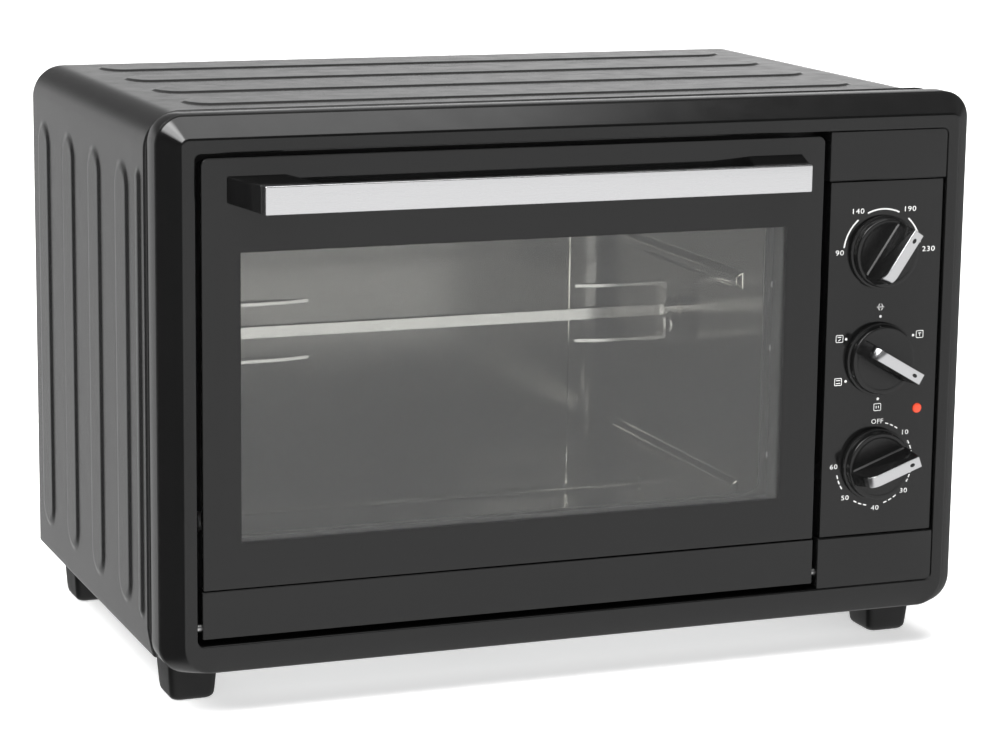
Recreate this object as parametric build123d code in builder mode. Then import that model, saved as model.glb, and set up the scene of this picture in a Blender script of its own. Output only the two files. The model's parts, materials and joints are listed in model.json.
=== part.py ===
from build123d import *
import os
from math import acos, atan2, cos, degrees, hypot, radians, sin

# A bench-top rotisserie oven, in millimetres.
# X runs to the user's right, Y runs from the user towards the back and Z is up.
# The origin is on the worktop, under the centre of the oven's bounding box.
# "Depth" is measured back from the front of the bezel, "height" up from the bottom of the bezel.

# Overall size
oven_width = 520
bezel_height = 326
foot_height = 26
body_depth = 330
handle_reach = 36
gland_reach = 12
overall_depth = handle_reach + body_depth + gland_reach
front_y = handle_reach - overall_depth / 2

# Front bezel
bezel_depth = 36
bezel_corner = 17
bezel_bevel = 12.5
bezel_bottom_bevel = 3
bezel_wall = 3
opening_half_width = 240
opening_bottom = 18
opening_top = 305

# Sheet casing
sheet = 1
shell_inset = 3
shell_corner = 20
shell_bottom = 3
rib_height = 1.5
rib_width = 33
rib_pitch = 66
rib_count = 4
first_rib_depth = 82
narrow_rib_width = 14
narrow_rib_depth = 54
side_rib_bottom = 21
side_rib_top = 291
top_rib_half_length = 230

# Door and its hinge
door_left = -237
door_right = 156
door_bottom = 22
door_split = 50.5
door_top = 302.5
door_face = 0.5
glass_thickness = 4
door_frame_back = 26
hinge_depth = 6
hinge_height = 28
hinge_pin_radius = 2.5
running_clearance = 0.05
window_left = -213.5
window_right = 131.5
window_bottom = 78
window_top = 248

# Handle
handle_bar_thickness = 6
handle_bar_bottom = 274.3
handle_bar_top = 290.6
handle_bar_half_length = 169.5

# Door stays
stay_thickness = 1.5
stay_width = 9
stay_pivot_depth = 20
stay_pivot_height = 88
stay_clearance = 0.5
door_swing = 90

# Control panel and knobs
panel_left = 159.5
panel_face = 1.5
panel_thickness = 2.5
panel_inset = 1.5
panel_block_split = 274
knob_x = 197.5
knob_heights = {"temperature": 229.5, "function": 162.5, "timer": 95.5}
knob_pointers = {"temperature": 56, "function": -30, "timer": 20}
knob_radius = 23
knob_reach = 26.4
shaft_radius = 3
lens_x = 226
lens_height = 129.4
lens_radius = 3.1

# Cavity, measured on its inner faces
cavity_left = -213
cavity_right = 131
cavity_front = 30.2
cavity_back = 283
cavity_floor_height = 29
cavity_roof_height = 296
cavity_corner = 15
mouth_bottom = 76
mouth_top = 256
plate_front = 29

# Heaters
heater_radius = 3.75
heater_bend = 20
heater_depths = (95, 215)
lower_heater_height = 40
upper_heater_height = 281

# Rotisserie
spit_depth = 155
spit_height = 172
spit_square = 7
fork_half_height = 19
fork_strip = 12
prong_length = 62

# Feet
foot_x = 232
foot_depths = (54, 286)


def at_depth(depth):
    """Y of a point this far behind the front of the bezel."""
    return front_y + depth


def at_height(height):
    """Z of a point this far above the bottom of the bezel."""
    return foot_height + height


def front_plane(depth):
    """Upright plane that faces the user, with X to the right and Z up."""
    return Plane.XZ.offset(-at_depth(depth))


def level_plane(height):
    """Level plane that faces up, with X to the right and Y to the back."""
    return Plane.XY.offset(at_height(height))


def side_plane(x):
    """Upright plane that faces right, with Y to the back and Z up."""
    return Plane.YZ.offset(x)


def middle(span):
    """Middle of a pair of limits."""
    return (span[0] + span[1]) / 2


def slab(x_span, depth_span, height_span, mode=Mode.ADD):
    """Box between pairs of X values, depths and heights."""
    centre = (middle(x_span), at_depth(middle(depth_span)), at_height(middle(height_span)))
    with Locations(centre):
        Box(x_span[1] - x_span[0], depth_span[1] - depth_span[0], height_span[1] - height_span[0], mode=mode)


def rod_x(radius, x_span, depth, height, mode=Mode.ADD):
    """Cylinder that runs across the oven."""
    with Locations((middle(x_span), at_depth(depth), at_height(height))):
        Cylinder(radius, x_span[1] - x_span[0], rotation=(0, 90, 0), mode=mode)


def rod_y(radius, x, depth_span, height, mode=Mode.ADD):
    """Cylinder that runs from front to back."""
    with Locations((x, at_depth(middle(depth_span)), at_height(height))):
        Cylinder(radius, depth_span[1] - depth_span[0], rotation=(90, 0, 0), mode=mode)


def rod_z(radius, x, depth, height_span, mode=Mode.ADD):
    """Upright cylinder."""
    with Locations((x, at_depth(depth), at_height(middle(height_span)))):
        Cylinder(radius, height_span[1] - height_span[0], mode=mode)


def front_rectangle(x_span, height_span, radius=0):
    """Rectangle on a front plane, with rounded corners if a radius is given."""
    with Locations((middle(x_span), at_height(middle(height_span)))):
        if radius:
            RectangleRounded(x_span[1] - x_span[0], height_span[1] - height_span[0], radius)
        else:
            Rectangle(x_span[1] - x_span[0], height_span[1] - height_span[0])


half_width = oven_width / 2
opening_span = (-opening_half_width, opening_half_width)
opening_heights = (opening_bottom, opening_top)
frame_left = door_left + 5
frame_right = door_right - 5
screw_radius = 1.5
screw_head = 1.4
pieces = {}

# ---------------------------------------------------------------- bezel

groove_width = 2.5
groove_inset = 1.5
bezel_hollow = bezel_depth - bezel_bevel - 2
hinge_bore_radius = hinge_pin_radius + running_clearance
hinge_bore_end = -opening_half_width - 9


def bezel_outline(depth, inset):
    """Rounded outline of the bezel, drawn in by the inset."""
    with BuildSketch(front_plane(depth)) as outline:
        front_rectangle(
            (-half_width + inset, half_width - inset), (inset, bezel_height - inset), bezel_corner - inset
        )
    return outline.sketch


# Moulded frame around the door and the control panel, hollow behind its bevelled face.
# The bevel is drawn on a taller blank, so that only a narrow strip of it is left along the bottom.
with BuildPart() as front_bezel:
    blank_heights = (bezel_bottom_bevel - bezel_bevel, bezel_height)
    with BuildSketch(front_plane(bezel_depth - groove_width)):
        front_rectangle((-half_width, half_width), blank_heights, bezel_corner)
    extrude(amount=bezel_depth - groove_width)
    chamfer(front_bezel.faces().sort_by(Axis.Y)[0].edges(), bezel_bevel)
    extrude(
        bezel_outline(bezel_depth - groove_width, 0), amount=bezel_depth - groove_width, mode=Mode.INTERSECT
    )
    # The back edge steps in and leaves a groove where the casing meets the bezel.
    extrude(bezel_outline(bezel_depth, groove_inset), amount=groove_width)
    extrude(bezel_outline(bezel_depth, groove_inset + bezel_wall), amount=bezel_hollow, mode=Mode.SUBTRACT)
    # The lip around the opening reaches back to the chassis plate.
    with BuildSketch(front_plane(plate_front)):
        front_rectangle(
            (-opening_half_width - bezel_wall, opening_half_width + bezel_wall),
            (opening_bottom - bezel_wall, opening_top + bezel_wall),
        )
    extrude(amount=plate_front - bezel_bevel)
    with BuildSketch(front_plane(plate_front)):
        front_rectangle(opening_span, opening_heights, 4)
    extrude(amount=plate_front, mode=Mode.SUBTRACT)
    rod_x(hinge_bore_radius, (hinge_bore_end, -opening_half_width), hinge_depth, hinge_height, Mode.SUBTRACT)
pieces["front_bezel"] = front_bezel

# ---------------------------------------------------------------- casing

shell_half = half_width - shell_inset
shell_top = bezel_height - shell_inset
shell_flange = 38
rear_flange = 12
shell_back = body_depth - sheet
rib_depths = [first_rib_depth + rib_width / 2 + rib_pitch * i for i in range(rib_count)]
side_ribs = [(depth, rib_width) for depth in rib_depths]
side_ribs.append((narrow_rib_depth + narrow_rib_width / 2, narrow_rib_width))
side_rib_height = middle((side_rib_bottom, side_rib_top))
foot_screw_radius = 2
foot_spots = [(side * foot_x, depth) for side in (-1, 1) for depth in foot_depths]
cover_screw_x = shell_half - 7
cover_screw_spots = [(side * cover_screw_x, height) for side in (-1, 1) for height in (30, 160, 290)]
cover_screw_spots += [(x, shell_top - 7) for x in (-120, 120)]


def casing_section(depth, inset):
    """Cross-section of the casing with its rounded top corners, drawn in by the inset."""
    with BuildSketch(front_plane(depth)) as section:
        front_rectangle((-shell_half + inset, shell_half - inset), (shell_bottom + inset, shell_top - inset))
        fillet(section.vertices().group_by(Axis.Y)[-1], shell_corner - inset)
    return section.sketch


def side_ribs_outline(x, shrink):
    """Outlines of the upright ribs on one side."""
    with BuildSketch(side_plane(x)) as outline:
        for depth, width in side_ribs:
            with Locations((at_depth(depth), at_height(side_rib_height))):
                SlotOverall(side_rib_top - side_rib_bottom - 2 * shrink, width - 2 * shrink, rotation=90)
    return outline.sketch


def top_ribs_outline(height, shrink):
    """Outlines of the long ribs on the top."""
    with BuildSketch(level_plane(height)) as outline:
        for depth in rib_depths:
            with Locations((0, at_depth(depth))):
                SlotOverall(2 * (top_rib_half_length - shrink), rib_width - 2 * shrink)
    return outline.sketch


# Folded sheet over the top and both sides, pressed outwards into long ribs.
with BuildPart() as outer_shell:
    extrude(casing_section(shell_back, 0), amount=shell_back - bezel_depth)
    for side in (-1, 1):
        extrude(side_ribs_outline(side * (shell_half - sheet), 0), amount=side * (rib_height + sheet))
    extrude(top_ribs_outline(shell_top - sheet, 0), amount=rib_height + sheet)
    extrude(casing_section(shell_back, sheet), amount=shell_back - bezel_depth, mode=Mode.SUBTRACT)
    for side in (-1, 1):
        extrude(
            side_ribs_outline(side * (shell_half - 2 * sheet), sheet),
            amount=side * (rib_height + sheet),
            mode=Mode.SUBTRACT,
        )
    extrude(top_ribs_outline(shell_top - 2 * sheet, sheet), amount=rib_height + sheet, mode=Mode.SUBTRACT)
    slab(
        (-shell_half + shell_flange, shell_half - shell_flange),
        (bezel_depth, shell_back),
        (shell_bottom, shell_bottom + sheet),
        Mode.SUBTRACT,
    )
    for x, depth in foot_spots:
        rod_z(foot_screw_radius, x, depth, (shell_bottom, shell_bottom + sheet), Mode.SUBTRACT)
    # The back edge turns inwards to carry the back cover.
    extrude(casing_section(shell_back, sheet / 2), amount=sheet)
    extrude(casing_section(shell_back, rear_flange), amount=sheet, mode=Mode.SUBTRACT)
    for x, height in cover_screw_spots:
        rod_y(screw_radius, x, (shell_back - sheet, shell_back), height, Mode.SUBTRACT)
pieces["outer_shell"] = outer_shell

# Flat back cover with two fields of cooling slots and the hole for the cord gland.
cover_inset = 3
vent_length = 34
vent_width = 4
gland_x = 200
gland_height = 48
gland_radius = 6
with BuildPart() as back_cover:
    extrude(casing_section(body_depth, cover_inset), amount=sheet)
    with BuildSketch(front_plane(body_depth)):
        with Locations((200, at_height(190)), (-170, at_height(240))):
            with GridLocations(vent_length + 8, vent_width + 8, 2, 9):
                SlotOverall(vent_length, vent_width)
        with Locations((gland_x, at_height(gland_height))):
            Circle(gland_radius)
    extrude(amount=sheet, mode=Mode.SUBTRACT)
    for x, height in cover_screw_spots:
        rod_y(screw_radius, x, (body_depth - sheet, body_depth), height, Mode.SUBTRACT)
pieces["back_cover"] = back_cover

with BuildPart() as back_cover_screws:
    for x, height in cover_screw_spots:
        rod_y(screw_radius, x, (body_depth - 8, body_depth), height)
        rod_y(2 * screw_radius, x, (body_depth, body_depth + 1.8), height)
pieces["back_cover_screws"] = back_cover_screws

# Flat bottom, resting on the turned-in edges of the casing.
floor_bottom = shell_bottom + sheet
floor_top = floor_bottom + sheet
with BuildPart() as base_plate:
    slab(
        (-shell_half + 2, shell_half - 2),
        (bezel_depth, shell_back - sheet - 0.5),
        (floor_bottom, floor_top),
    )
    with BuildSketch(level_plane(floor_bottom)):
        with Locations((200, at_depth(165)), (-40, at_depth(165))):
            with GridLocations(vent_width + 8, vent_length + 12, 5, 4):
                SlotOverall(vent_length, vent_width, rotation=90)
    extrude(amount=sheet, mode=Mode.SUBTRACT)
    for x, depth in foot_spots:
        rod_z(foot_screw_radius, x, depth, (floor_bottom, floor_top), Mode.SUBTRACT)
pieces["base_plate"] = base_plate

# Tapered feet with a chamfered tread. The turned-in edges of the casing are clamped between them
# and the base plate.
foot_top = (shell_bottom, (31, 34))
foot_waist = (4 - foot_height, (28, 30))
foot_tread = (-foot_height, (21, 22))
foot_bore_bottom = -14
foot_names = {
    "foot_front_left": (-foot_x, foot_depths[0]),
    "foot_front_right": (foot_x, foot_depths[0]),
    "foot_rear_left": (-foot_x, foot_depths[1]),
    "foot_rear_right": (foot_x, foot_depths[1]),
}


def foot_sections(x, depth, levels):
    """Rounded cross-sections of a foot, each given as its height and its size."""
    sections = []
    for height, size in levels:
        with BuildSketch(level_plane(height)) as section:
            with Locations((x, at_depth(depth))):
                RectangleRounded(*size, 5)
        sections.append(section.sketch)
    return sections


for name, (x, depth) in foot_names.items():
    with BuildPart() as foot:
        loft(foot_sections(x, depth, (foot_tread, foot_waist)))
        loft(foot_sections(x, depth, (foot_waist, foot_top)))
        rod_z(foot_screw_radius, x, depth, (foot_bore_bottom, shell_bottom), Mode.SUBTRACT)
    pieces[name] = foot

with BuildPart() as foot_screws:
    for x, depth in foot_spots:
        rod_z(foot_screw_radius, x, depth, (foot_bore_bottom, floor_top))
        rod_z(2 * foot_screw_radius, x, depth, (floor_top, floor_top + 2.4))
pieces["foot_screws"] = foot_screws

# ---------------------------------------------------------------- chassis and cavity

stay_centres = (
    frame_left - stay_clearance - stay_thickness / 2,
    frame_right + stay_clearance + stay_thickness / 2,
)
stay_slot_height = 13
stay_slot_width = 3
stay_radius = hypot(stay_pivot_depth - hinge_depth, stay_pivot_height - hinge_height)
stay_closed_angle = degrees(atan2(stay_pivot_height - hinge_height, stay_pivot_depth - hinge_depth))
plate_middle = (plate_front + cavity_front) / 2
stay_slot_angle = degrees(acos((plate_middle - hinge_depth) / stay_radius))
stay_slot_centre = hinge_height + stay_radius * sin(radians(stay_slot_angle))
wall_screw_heights = (100, 133, 168, 208)
wall_flange = 15
wall_screw_x = (cavity_left - 7, cavity_right + 7)

# Chassis plate between the bezel and the cavity, with the mouth of the cavity cut through it.
with BuildPart() as front_plate:
    extrude(casing_section(cavity_front, sheet + 5), amount=cavity_front - plate_front)
    with BuildSketch(front_plane(cavity_front)):
        front_rectangle((cavity_left, cavity_right), (mouth_bottom, mouth_top), 8)
        front_rectangle((164, 234), (60, 268), 4)
        for x in stay_centres:
            with Locations((x, at_height(stay_slot_centre))):
                Rectangle(stay_slot_width, stay_slot_height)
    extrude(amount=cavity_front - plate_front, mode=Mode.SUBTRACT)
    for x in wall_screw_x:
        for height in wall_screw_heights:
            rod_y(screw_radius, x, (plate_front, cavity_front), height, Mode.SUBTRACT)
pieces["front_plate"] = front_plate

cavity_middle = (cavity_left + cavity_right) / 2
rail_depths = (60, 250)
rail_heights = (66.5, 200)
rail_rise = 5
rail_slope = 3
rail_reach = 11
socket_hole_radius = 7
tube_hole_radius = heater_radius + 0.5
rear_flange_length = 10


def wall_profile(side):
    """Plan of a side wall: a front flange turned out, a rounded back corner and a back flange."""
    face = cavity_right if side > 0 else cavity_left
    outside = face + side * sheet
    with BuildSketch(level_plane(cavity_floor_height - 1)) as profile:
        with BuildLine():
            front = at_depth(cavity_front)
            back = at_depth(cavity_back)
            bend_start = back - cavity_corner
            bend_x = face - side * cavity_corner
            flange_x = bend_x - side * rear_flange_length
            outer = cavity_corner + sheet
            turn = sin(radians(45))
            Polyline(
                (face, bend_start),
                (face, front),
                (face + side * wall_flange, front),
                (face + side * wall_flange, front + sheet),
                (outside, front + sheet),
                (outside, bend_start),
            )
            ThreePointArc(
                (outside, bend_start),
                (bend_x + side * outer * turn, bend_start + outer * turn),
                (bend_x, back + sheet),
            )
            Polyline((bend_x, back + sheet), (flange_x, back + sheet), (flange_x, back), (bend_x, back))
            ThreePointArc(
                (bend_x, back),
                (bend_x + side * cavity_corner * turn, bend_start + cavity_corner * turn),
                (face, bend_start),
            )
        make_face()
    return profile.sketch


def rail_section(side, height, back, shrink):
    """Cross-section of a rack rail, thinned by the shrink on its two sloping sides and its face."""
    face = cavity_right if side > 0 else cavity_left
    base = face + side * shrink
    crest = face - side * (rail_rise - shrink)
    with BuildSketch(front_plane(back)) as section:
        with BuildLine():
            Polyline(
                (base, at_height(height + shrink)),
                (crest, at_height(height + rail_slope + shrink / 2)),
                (crest, at_height(height + rail_reach - rail_slope - shrink / 2)),
                (base, at_height(height + rail_reach - shrink)),
                close=True,
            )
        make_face()
    return section.sketch


def cavity_wall(side):
    """Side wall of the cavity with its pressed rack rails."""
    face = cavity_right if side > 0 else cavity_left
    start, end = rail_depths
    with BuildPart() as wall:
        extrude(wall_profile(side), amount=cavity_roof_height - cavity_floor_height + 2)
        for height in rail_heights:
            extrude(rail_section(side, height, end, 0), amount=end - start)
            extrude(rail_section(side, height, end - 1, sheet), amount=end - start - 2, mode=Mode.SUBTRACT)
        for height in wall_screw_heights:
            x = wall_screw_x[1] if side > 0 else wall_screw_x[0]
            rod_y(screw_radius, x, (cavity_front, cavity_front + sheet), height, Mode.SUBTRACT)
        if side > 0:
            rod_x(socket_hole_radius, (face - 1, face + 2), spit_depth, spit_height, Mode.SUBTRACT)
            for depth in heater_depths:
                for height in (lower_heater_height, upper_heater_height):
                    rod_x(tube_hole_radius, (face - 1, face + 2), depth, height, Mode.SUBTRACT)
    return wall


pieces["cavity_left_wall"] = cavity_wall(-1)
pieces["cavity_right_wall"] = cavity_wall(1)

# Back wall, pressed with a long low panel.
band_span = (-205, 108)
band_heights = (43.5, 65)
press_depth = 3
with BuildPart() as cavity_back_wall:
    wall_depths = (cavity_back + sheet, cavity_back + 2 * sheet)
    slab(
        (cavity_left - 12, cavity_right + 12),
        wall_depths,
        (cavity_floor_height - 4, cavity_roof_height + 4),
    )
    slab(band_span, (wall_depths[0], wall_depths[1] + press_depth), band_heights)
    slab(
        (band_span[0] + 1, band_span[1] - 1),
        (wall_depths[0], wall_depths[0] + press_depth),
        (band_heights[0] + 1, band_heights[1] - 1),
        Mode.SUBTRACT,
    )
pieces["cavity_back_wall"] = cavity_back_wall


def cavity_sheet(bottom):
    """Roof or floor of the cavity, rounded at its back corners to lie inside the walls."""
    with BuildPart() as level_sheet:
        with BuildSketch(level_plane(bottom)) as outline:
            with Locations((cavity_middle, at_depth((cavity_front + cavity_back) / 2))):
                Rectangle(cavity_right - cavity_left, cavity_back - cavity_front)
            fillet(outline.vertices().group_by(Axis.Y)[-1], cavity_corner)
        extrude(amount=sheet)
    return level_sheet


pieces["cavity_roof"] = cavity_sheet(cavity_roof_height)
pieces["cavity_floor"] = cavity_sheet(cavity_floor_height - sheet)

# ---------------------------------------------------------------- heaters

terminal_x = cavity_right + 19
bend_x = cavity_left + 13
insulator_reach = 13


def heater(height):
    """U-shaped tubular heater that enters and leaves through the right wall."""
    with BuildPart() as tube:
        with BuildLine() as path:
            FilletPolyline(
                (terminal_x, at_depth(heater_depths[0]), at_height(height)),
                (bend_x, at_depth(heater_depths[0]), at_height(height)),
                (bend_x, at_depth(heater_depths[1]), at_height(height)),
                (terminal_x, at_depth(heater_depths[1]), at_height(height)),
                radius=heater_bend,
            )
        with BuildSketch(Plane(path.line @ 0, z_dir=path.line % 0)):
            Circle(heater_radius)
        sweep()
    return tube


pieces["lower_heater"] = heater(lower_heater_height)
pieces["upper_heater"] = heater(upper_heater_height)

with BuildPart() as heater_insulators:
    outer_face = cavity_right + sheet
    for depth in heater_depths:
        for height in (lower_heater_height, upper_heater_height):
            rod_x(9, (outer_face, outer_face + 3), depth, height)
            rod_x(6.5, (outer_face, outer_face + insulator_reach), depth, height)
            rod_x(heater_radius, (outer_face, outer_face + insulator_reach), depth, height, Mode.SUBTRACT)
pieces["heater_insulators"] = heater_insulators

clip_thickness = 1.5
clip_depths = (spit_depth - 8, spit_depth + 8)
with BuildPart() as heater_clips:
    for height in (lower_heater_height, upper_heater_height):
        shelf_top = height - heater_radius
        slab((cavity_left, bend_x + 4), clip_depths, (shelf_top - clip_thickness, shelf_top))
        slab((cavity_left, cavity_left + clip_thickness), clip_depths, (shelf_top - 7, shelf_top))
pieces["heater_clips"] = heater_clips

# ---------------------------------------------------------------- rotisserie drive and support

cradle_x = (cavity_left + 6, cavity_left + 7.5)
cradle_depths = (spit_depth - 14, spit_depth + 14)
journal_radius = 3.5
cradle_radius = journal_radius + 0.3
with BuildPart() as spit_support:
    slab(
        (cavity_left, cavity_left + clip_thickness),
        cradle_depths,
        (spit_height - 30, spit_height + 8),
    )
    slab((cavity_left, cradle_x[1]), cradle_depths, (spit_height - 18, spit_height - 16.5))
    slab(cradle_x, cradle_depths, (spit_height - 18, spit_height + 6))
    rod_x(cradle_radius, (cradle_x[0], cradle_x[1]), spit_depth, spit_height, Mode.SUBTRACT)
    slab(
        cradle_x,
        (spit_depth - cradle_radius, spit_depth + cradle_radius),
        (spit_height, spit_height + 6),
        Mode.SUBTRACT,
    )
pieces["spit_support"] = spit_support

motor_face = cavity_right + sheet + 15
bracket_depths = (spit_depth - 40, spit_depth + 40)
bracket_heights = (spit_height - 12, spit_height + 12)
motor_screw_depths = (spit_depth - 33, spit_depth + 33)
drive_radius = 3
with BuildPart() as motor_bracket:
    slab((motor_face, motor_face + 1.2), bracket_depths, bracket_heights)
    for depth, foot in ((bracket_depths[0], -1), (bracket_depths[1], 1)):
        slab(
            (cavity_right + sheet, motor_face + 1.2),
            sorted((depth, depth - foot * 1.2)),
            bracket_heights,
        )
        slab(
            (cavity_right + sheet, cavity_right + sheet + 1.2),
            sorted((depth, depth + foot * 10)),
            bracket_heights,
        )
    rod_x(8, (motor_face, motor_face + 1.2), spit_depth, spit_height, Mode.SUBTRACT)
    for depth in motor_screw_depths:
        rod_x(1.5, (motor_face, motor_face + 1.2), depth, spit_height, Mode.SUBTRACT)
pieces["motor_bracket"] = motor_bracket

motor_front = motor_face + 1.2
with BuildPart() as rotisserie_motor:
    rod_x(26, (motor_front, motor_front + 18), spit_depth, spit_height)
    ear_depths = (spit_depth - 38, spit_depth + 38)
    slab((motor_front, motor_front + 1.5), ear_depths, (spit_height - 6, spit_height + 6))
    spindle_bore_radius = drive_radius + running_clearance
    rod_x(spindle_bore_radius, (motor_front, motor_front + 12), spit_depth, spit_height, Mode.SUBTRACT)
    for depth in motor_screw_depths:
        rod_x(1.5, (motor_front, motor_front + 1.5), depth, spit_height, Mode.SUBTRACT)
pieces["rotisserie_motor"] = rotisserie_motor

# ---------------------------------------------------------------- spit

# The socket that turns the spit has the output spindle of the motor as its stem.
socket_face = cavity_right - 2.5
socket_mouth_end = cavity_right + 6
socket_end = cavity_right + 12
with BuildPart() as drive_socket:
    rod_x(9, (socket_face, cavity_right - 0.5), spit_depth, spit_height)
    rod_x(socket_hole_radius - 0.5, (socket_face, socket_end), spit_depth, spit_height)
    half = spit_square / 2 + running_clearance
    slab(
        (socket_face, socket_mouth_end),
        (spit_depth - half, spit_depth + half),
        (spit_height - half, spit_height + half),
        Mode.SUBTRACT,
    )
    rod_x(drive_radius, (socket_end, motor_front + 11), spit_depth, spit_height)
pieces["drive_socket"] = drive_socket

spit_left = cavity_left + 1.5 + 0.5
half_square = spit_square / 2
with BuildPart() as spit_rod:
    slab(
        (cradle_x[1] + 1, socket_mouth_end - 0.5),
        (spit_depth - half_square, spit_depth + half_square),
        (spit_height - half_square, spit_height + half_square),
    )
    chamfer(spit_rod.faces().sort_by(Axis.X)[-1].edges(), 2)
    rod_x(journal_radius, (cradle_x[0] - 1, cradle_x[1] + 1), spit_depth, spit_height)
    rod_x(5, (spit_left, cradle_x[0] - 1), spit_depth, spit_height)
pieces["spit_rod"] = spit_rod

collar_length = 8
collar_radius = 7.5
fork_web = 2
thumbscrew_angle = 45
thumbscrew_radius = 2


def fork(web_x, side):
    """Two-pronged meat fork whose prongs point towards the middle; side is 1 for the right one."""
    with BuildPart() as meat_fork:
        far = web_x - side * prong_length
        web_inner = web_x - side * fork_web
        slab(
            sorted((web_inner, web_x)),
            (spit_depth - fork_strip / 2, spit_depth + fork_strip / 2),
            (spit_height - fork_half_height, spit_height + fork_half_height),
        )
        for height in (spit_height - fork_half_height, spit_height + fork_half_height - fork_web):
            with BuildSketch(level_plane(height)):
                with BuildLine():
                    half = fork_strip / 2
                    Polyline(
                        (web_x, at_depth(spit_depth - half)),
                        (web_x, at_depth(spit_depth + half)),
                        (far + side * 18, at_depth(spit_depth + half * 0.7)),
                        (far, at_depth(spit_depth)),
                        (far + side * 18, at_depth(spit_depth - half * 0.7)),
                        close=True,
                    )
                make_face()
            extrude(amount=fork_web)
        rod_x(collar_radius, sorted((web_inner, web_x + side * collar_length)), spit_depth, spit_height)
        slab(
            sorted((web_inner, web_x + side * collar_length)),
            (spit_depth - half_square, spit_depth + half_square),
            (spit_height - half_square, spit_height + half_square),
            Mode.SUBTRACT,
        )
        with BuildSketch(thumbscrew_plane(web_x, side)):
            Circle(thumbscrew_radius)
        extrude(amount=collar_radius + 1, mode=Mode.SUBTRACT)
    return meat_fork


def thumbscrew_plane(web_x, side):
    """Plane across a thumbscrew, through the middle of the spit, facing down and to the front."""
    angle = radians(thumbscrew_angle)
    return Plane(
        origin=(web_x + side * collar_length / 2, at_depth(spit_depth), at_height(spit_height)),
        x_dir=(1, 0, 0),
        z_dir=(0, -cos(angle), -sin(angle)),
    )


fork_webs = {"fork_left": (-186, -1), "fork_right": (119, 1)}
for name, (web_x, side) in fork_webs.items():
    pieces[name] = fork(web_x, side)

# Thumbscrews bear on a corner of the square spit through the collars of the forks.
screw_start = half_square * 2**0.5
wing_half_length = 6
with BuildPart() as fork_screws:
    for web_x, side in fork_webs.values():
        plane = thumbscrew_plane(web_x, side)
        with BuildSketch(plane.offset(screw_start)):
            Circle(thumbscrew_radius)
        extrude(amount=collar_radius + 3 - screw_start)
        with BuildSketch(plane.offset(collar_radius + 2)):
            SlotOverall(2 * wing_half_length, 5, rotation=90)
        extrude(amount=7)
pieces["fork_screws"] = fork_screws

# ---------------------------------------------------------------- control panel

panel_right = opening_half_width
plate_left = panel_left + panel_inset
plate_right = panel_right - panel_inset
panel_back = panel_face + panel_thickness
panel_hole_radius = shaft_radius + 1
block_face = door_face
block_depth = 16
block_gap = 0.5
body_screw_offset = 14
lamp_radius = 2.6

with BuildPart() as control_panel:
    panel_heights = (door_split + block_gap, panel_block_split - block_gap)
    slab((plate_left, plate_right), (panel_face, panel_back), panel_heights)
    # Side returns stiffen the plate and reach back to the chassis plate.
    slab((plate_left, plate_left + panel_thickness), (panel_face, plate_front), panel_heights)
    slab((plate_right - panel_thickness, plate_right), (panel_face, plate_front), panel_heights)
    for height in knob_heights.values():
        rod_y(panel_hole_radius, knob_x, (panel_face, panel_back), height, Mode.SUBTRACT)
        for x in (knob_x - body_screw_offset, knob_x + body_screw_offset):
            rod_y(screw_radius, x, (panel_face, panel_back), height, Mode.SUBTRACT)
            rod_y(2 * screw_radius, x, (panel_face, panel_face + screw_head), height, Mode.SUBTRACT)
    rod_y(lens_radius - 0.6, lens_x, (panel_face, panel_back), lens_height, Mode.SUBTRACT)
pieces["control_panel"] = control_panel

block_wall = 2.5
with BuildPart() as panel_top_block:
    with BuildSketch(front_plane(block_depth)) as outline:
        front_rectangle((panel_left, panel_right), (panel_block_split, opening_top))
        fillet(outline.vertices().sort_by(Axis.X)[-2:].sort_by(Axis.Y)[-1], 4)
    extrude(amount=block_depth - block_face)
    chamfer(panel_top_block.faces().sort_by(Axis.Y)[0].edges(), 0.8)
    slab(
        (panel_left + block_wall, panel_right - block_wall),
        (block_face + block_wall, block_depth),
        (panel_block_split + block_wall, opening_top - block_wall),
        Mode.SUBTRACT,
    )
pieces["panel_top_block"] = panel_top_block

with BuildPart() as panel_bottom_block:
    with BuildSketch(front_plane(block_depth)) as outline:
        front_rectangle((panel_left, panel_right), (opening_bottom, door_split))
        fillet(outline.vertices().sort_by(Axis.X)[-2:].sort_by(Axis.Y)[0], 4)
    extrude(amount=block_depth - block_face)
    chamfer(panel_bottom_block.faces().sort_by(Axis.Y)[0].edges(), 0.8)
    slab(
        (panel_left + 15, panel_right - block_wall),
        (block_face + block_wall, block_depth),
        (opening_bottom + block_wall, door_split - block_wall),
        Mode.SUBTRACT,
    )
    rod_x(hinge_bore_radius, (panel_left, panel_left + 12), hinge_depth, hinge_height, Mode.SUBTRACT)
pieces["panel_bottom_block"] = panel_bottom_block

with BuildPart() as indicator_lens:
    rod_y(lens_radius, lens_x, (panel_face - 1.2, panel_face), lens_height)
    fillet(indicator_lens.edges().sort_by(Axis.Y)[0], 0.9)
    rod_y(lens_radius - 0.6, lens_x, (panel_face, panel_back + 2), lens_height)
pieces["indicator_lens"] = indicator_lens

with BuildPart() as indicator_lamp:
    rod_y(lamp_radius, lens_x, (panel_back + 2, panel_back + 14), lens_height)
pieces["indicator_lamp"] = indicator_lamp

bore_radius = shaft_radius + running_clearance
thermostat_depth = 22
switch_depth = 26
timer_depth = 32
body_spans = {"temperature": thermostat_depth, "function": switch_depth, "timer": timer_depth}


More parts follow.
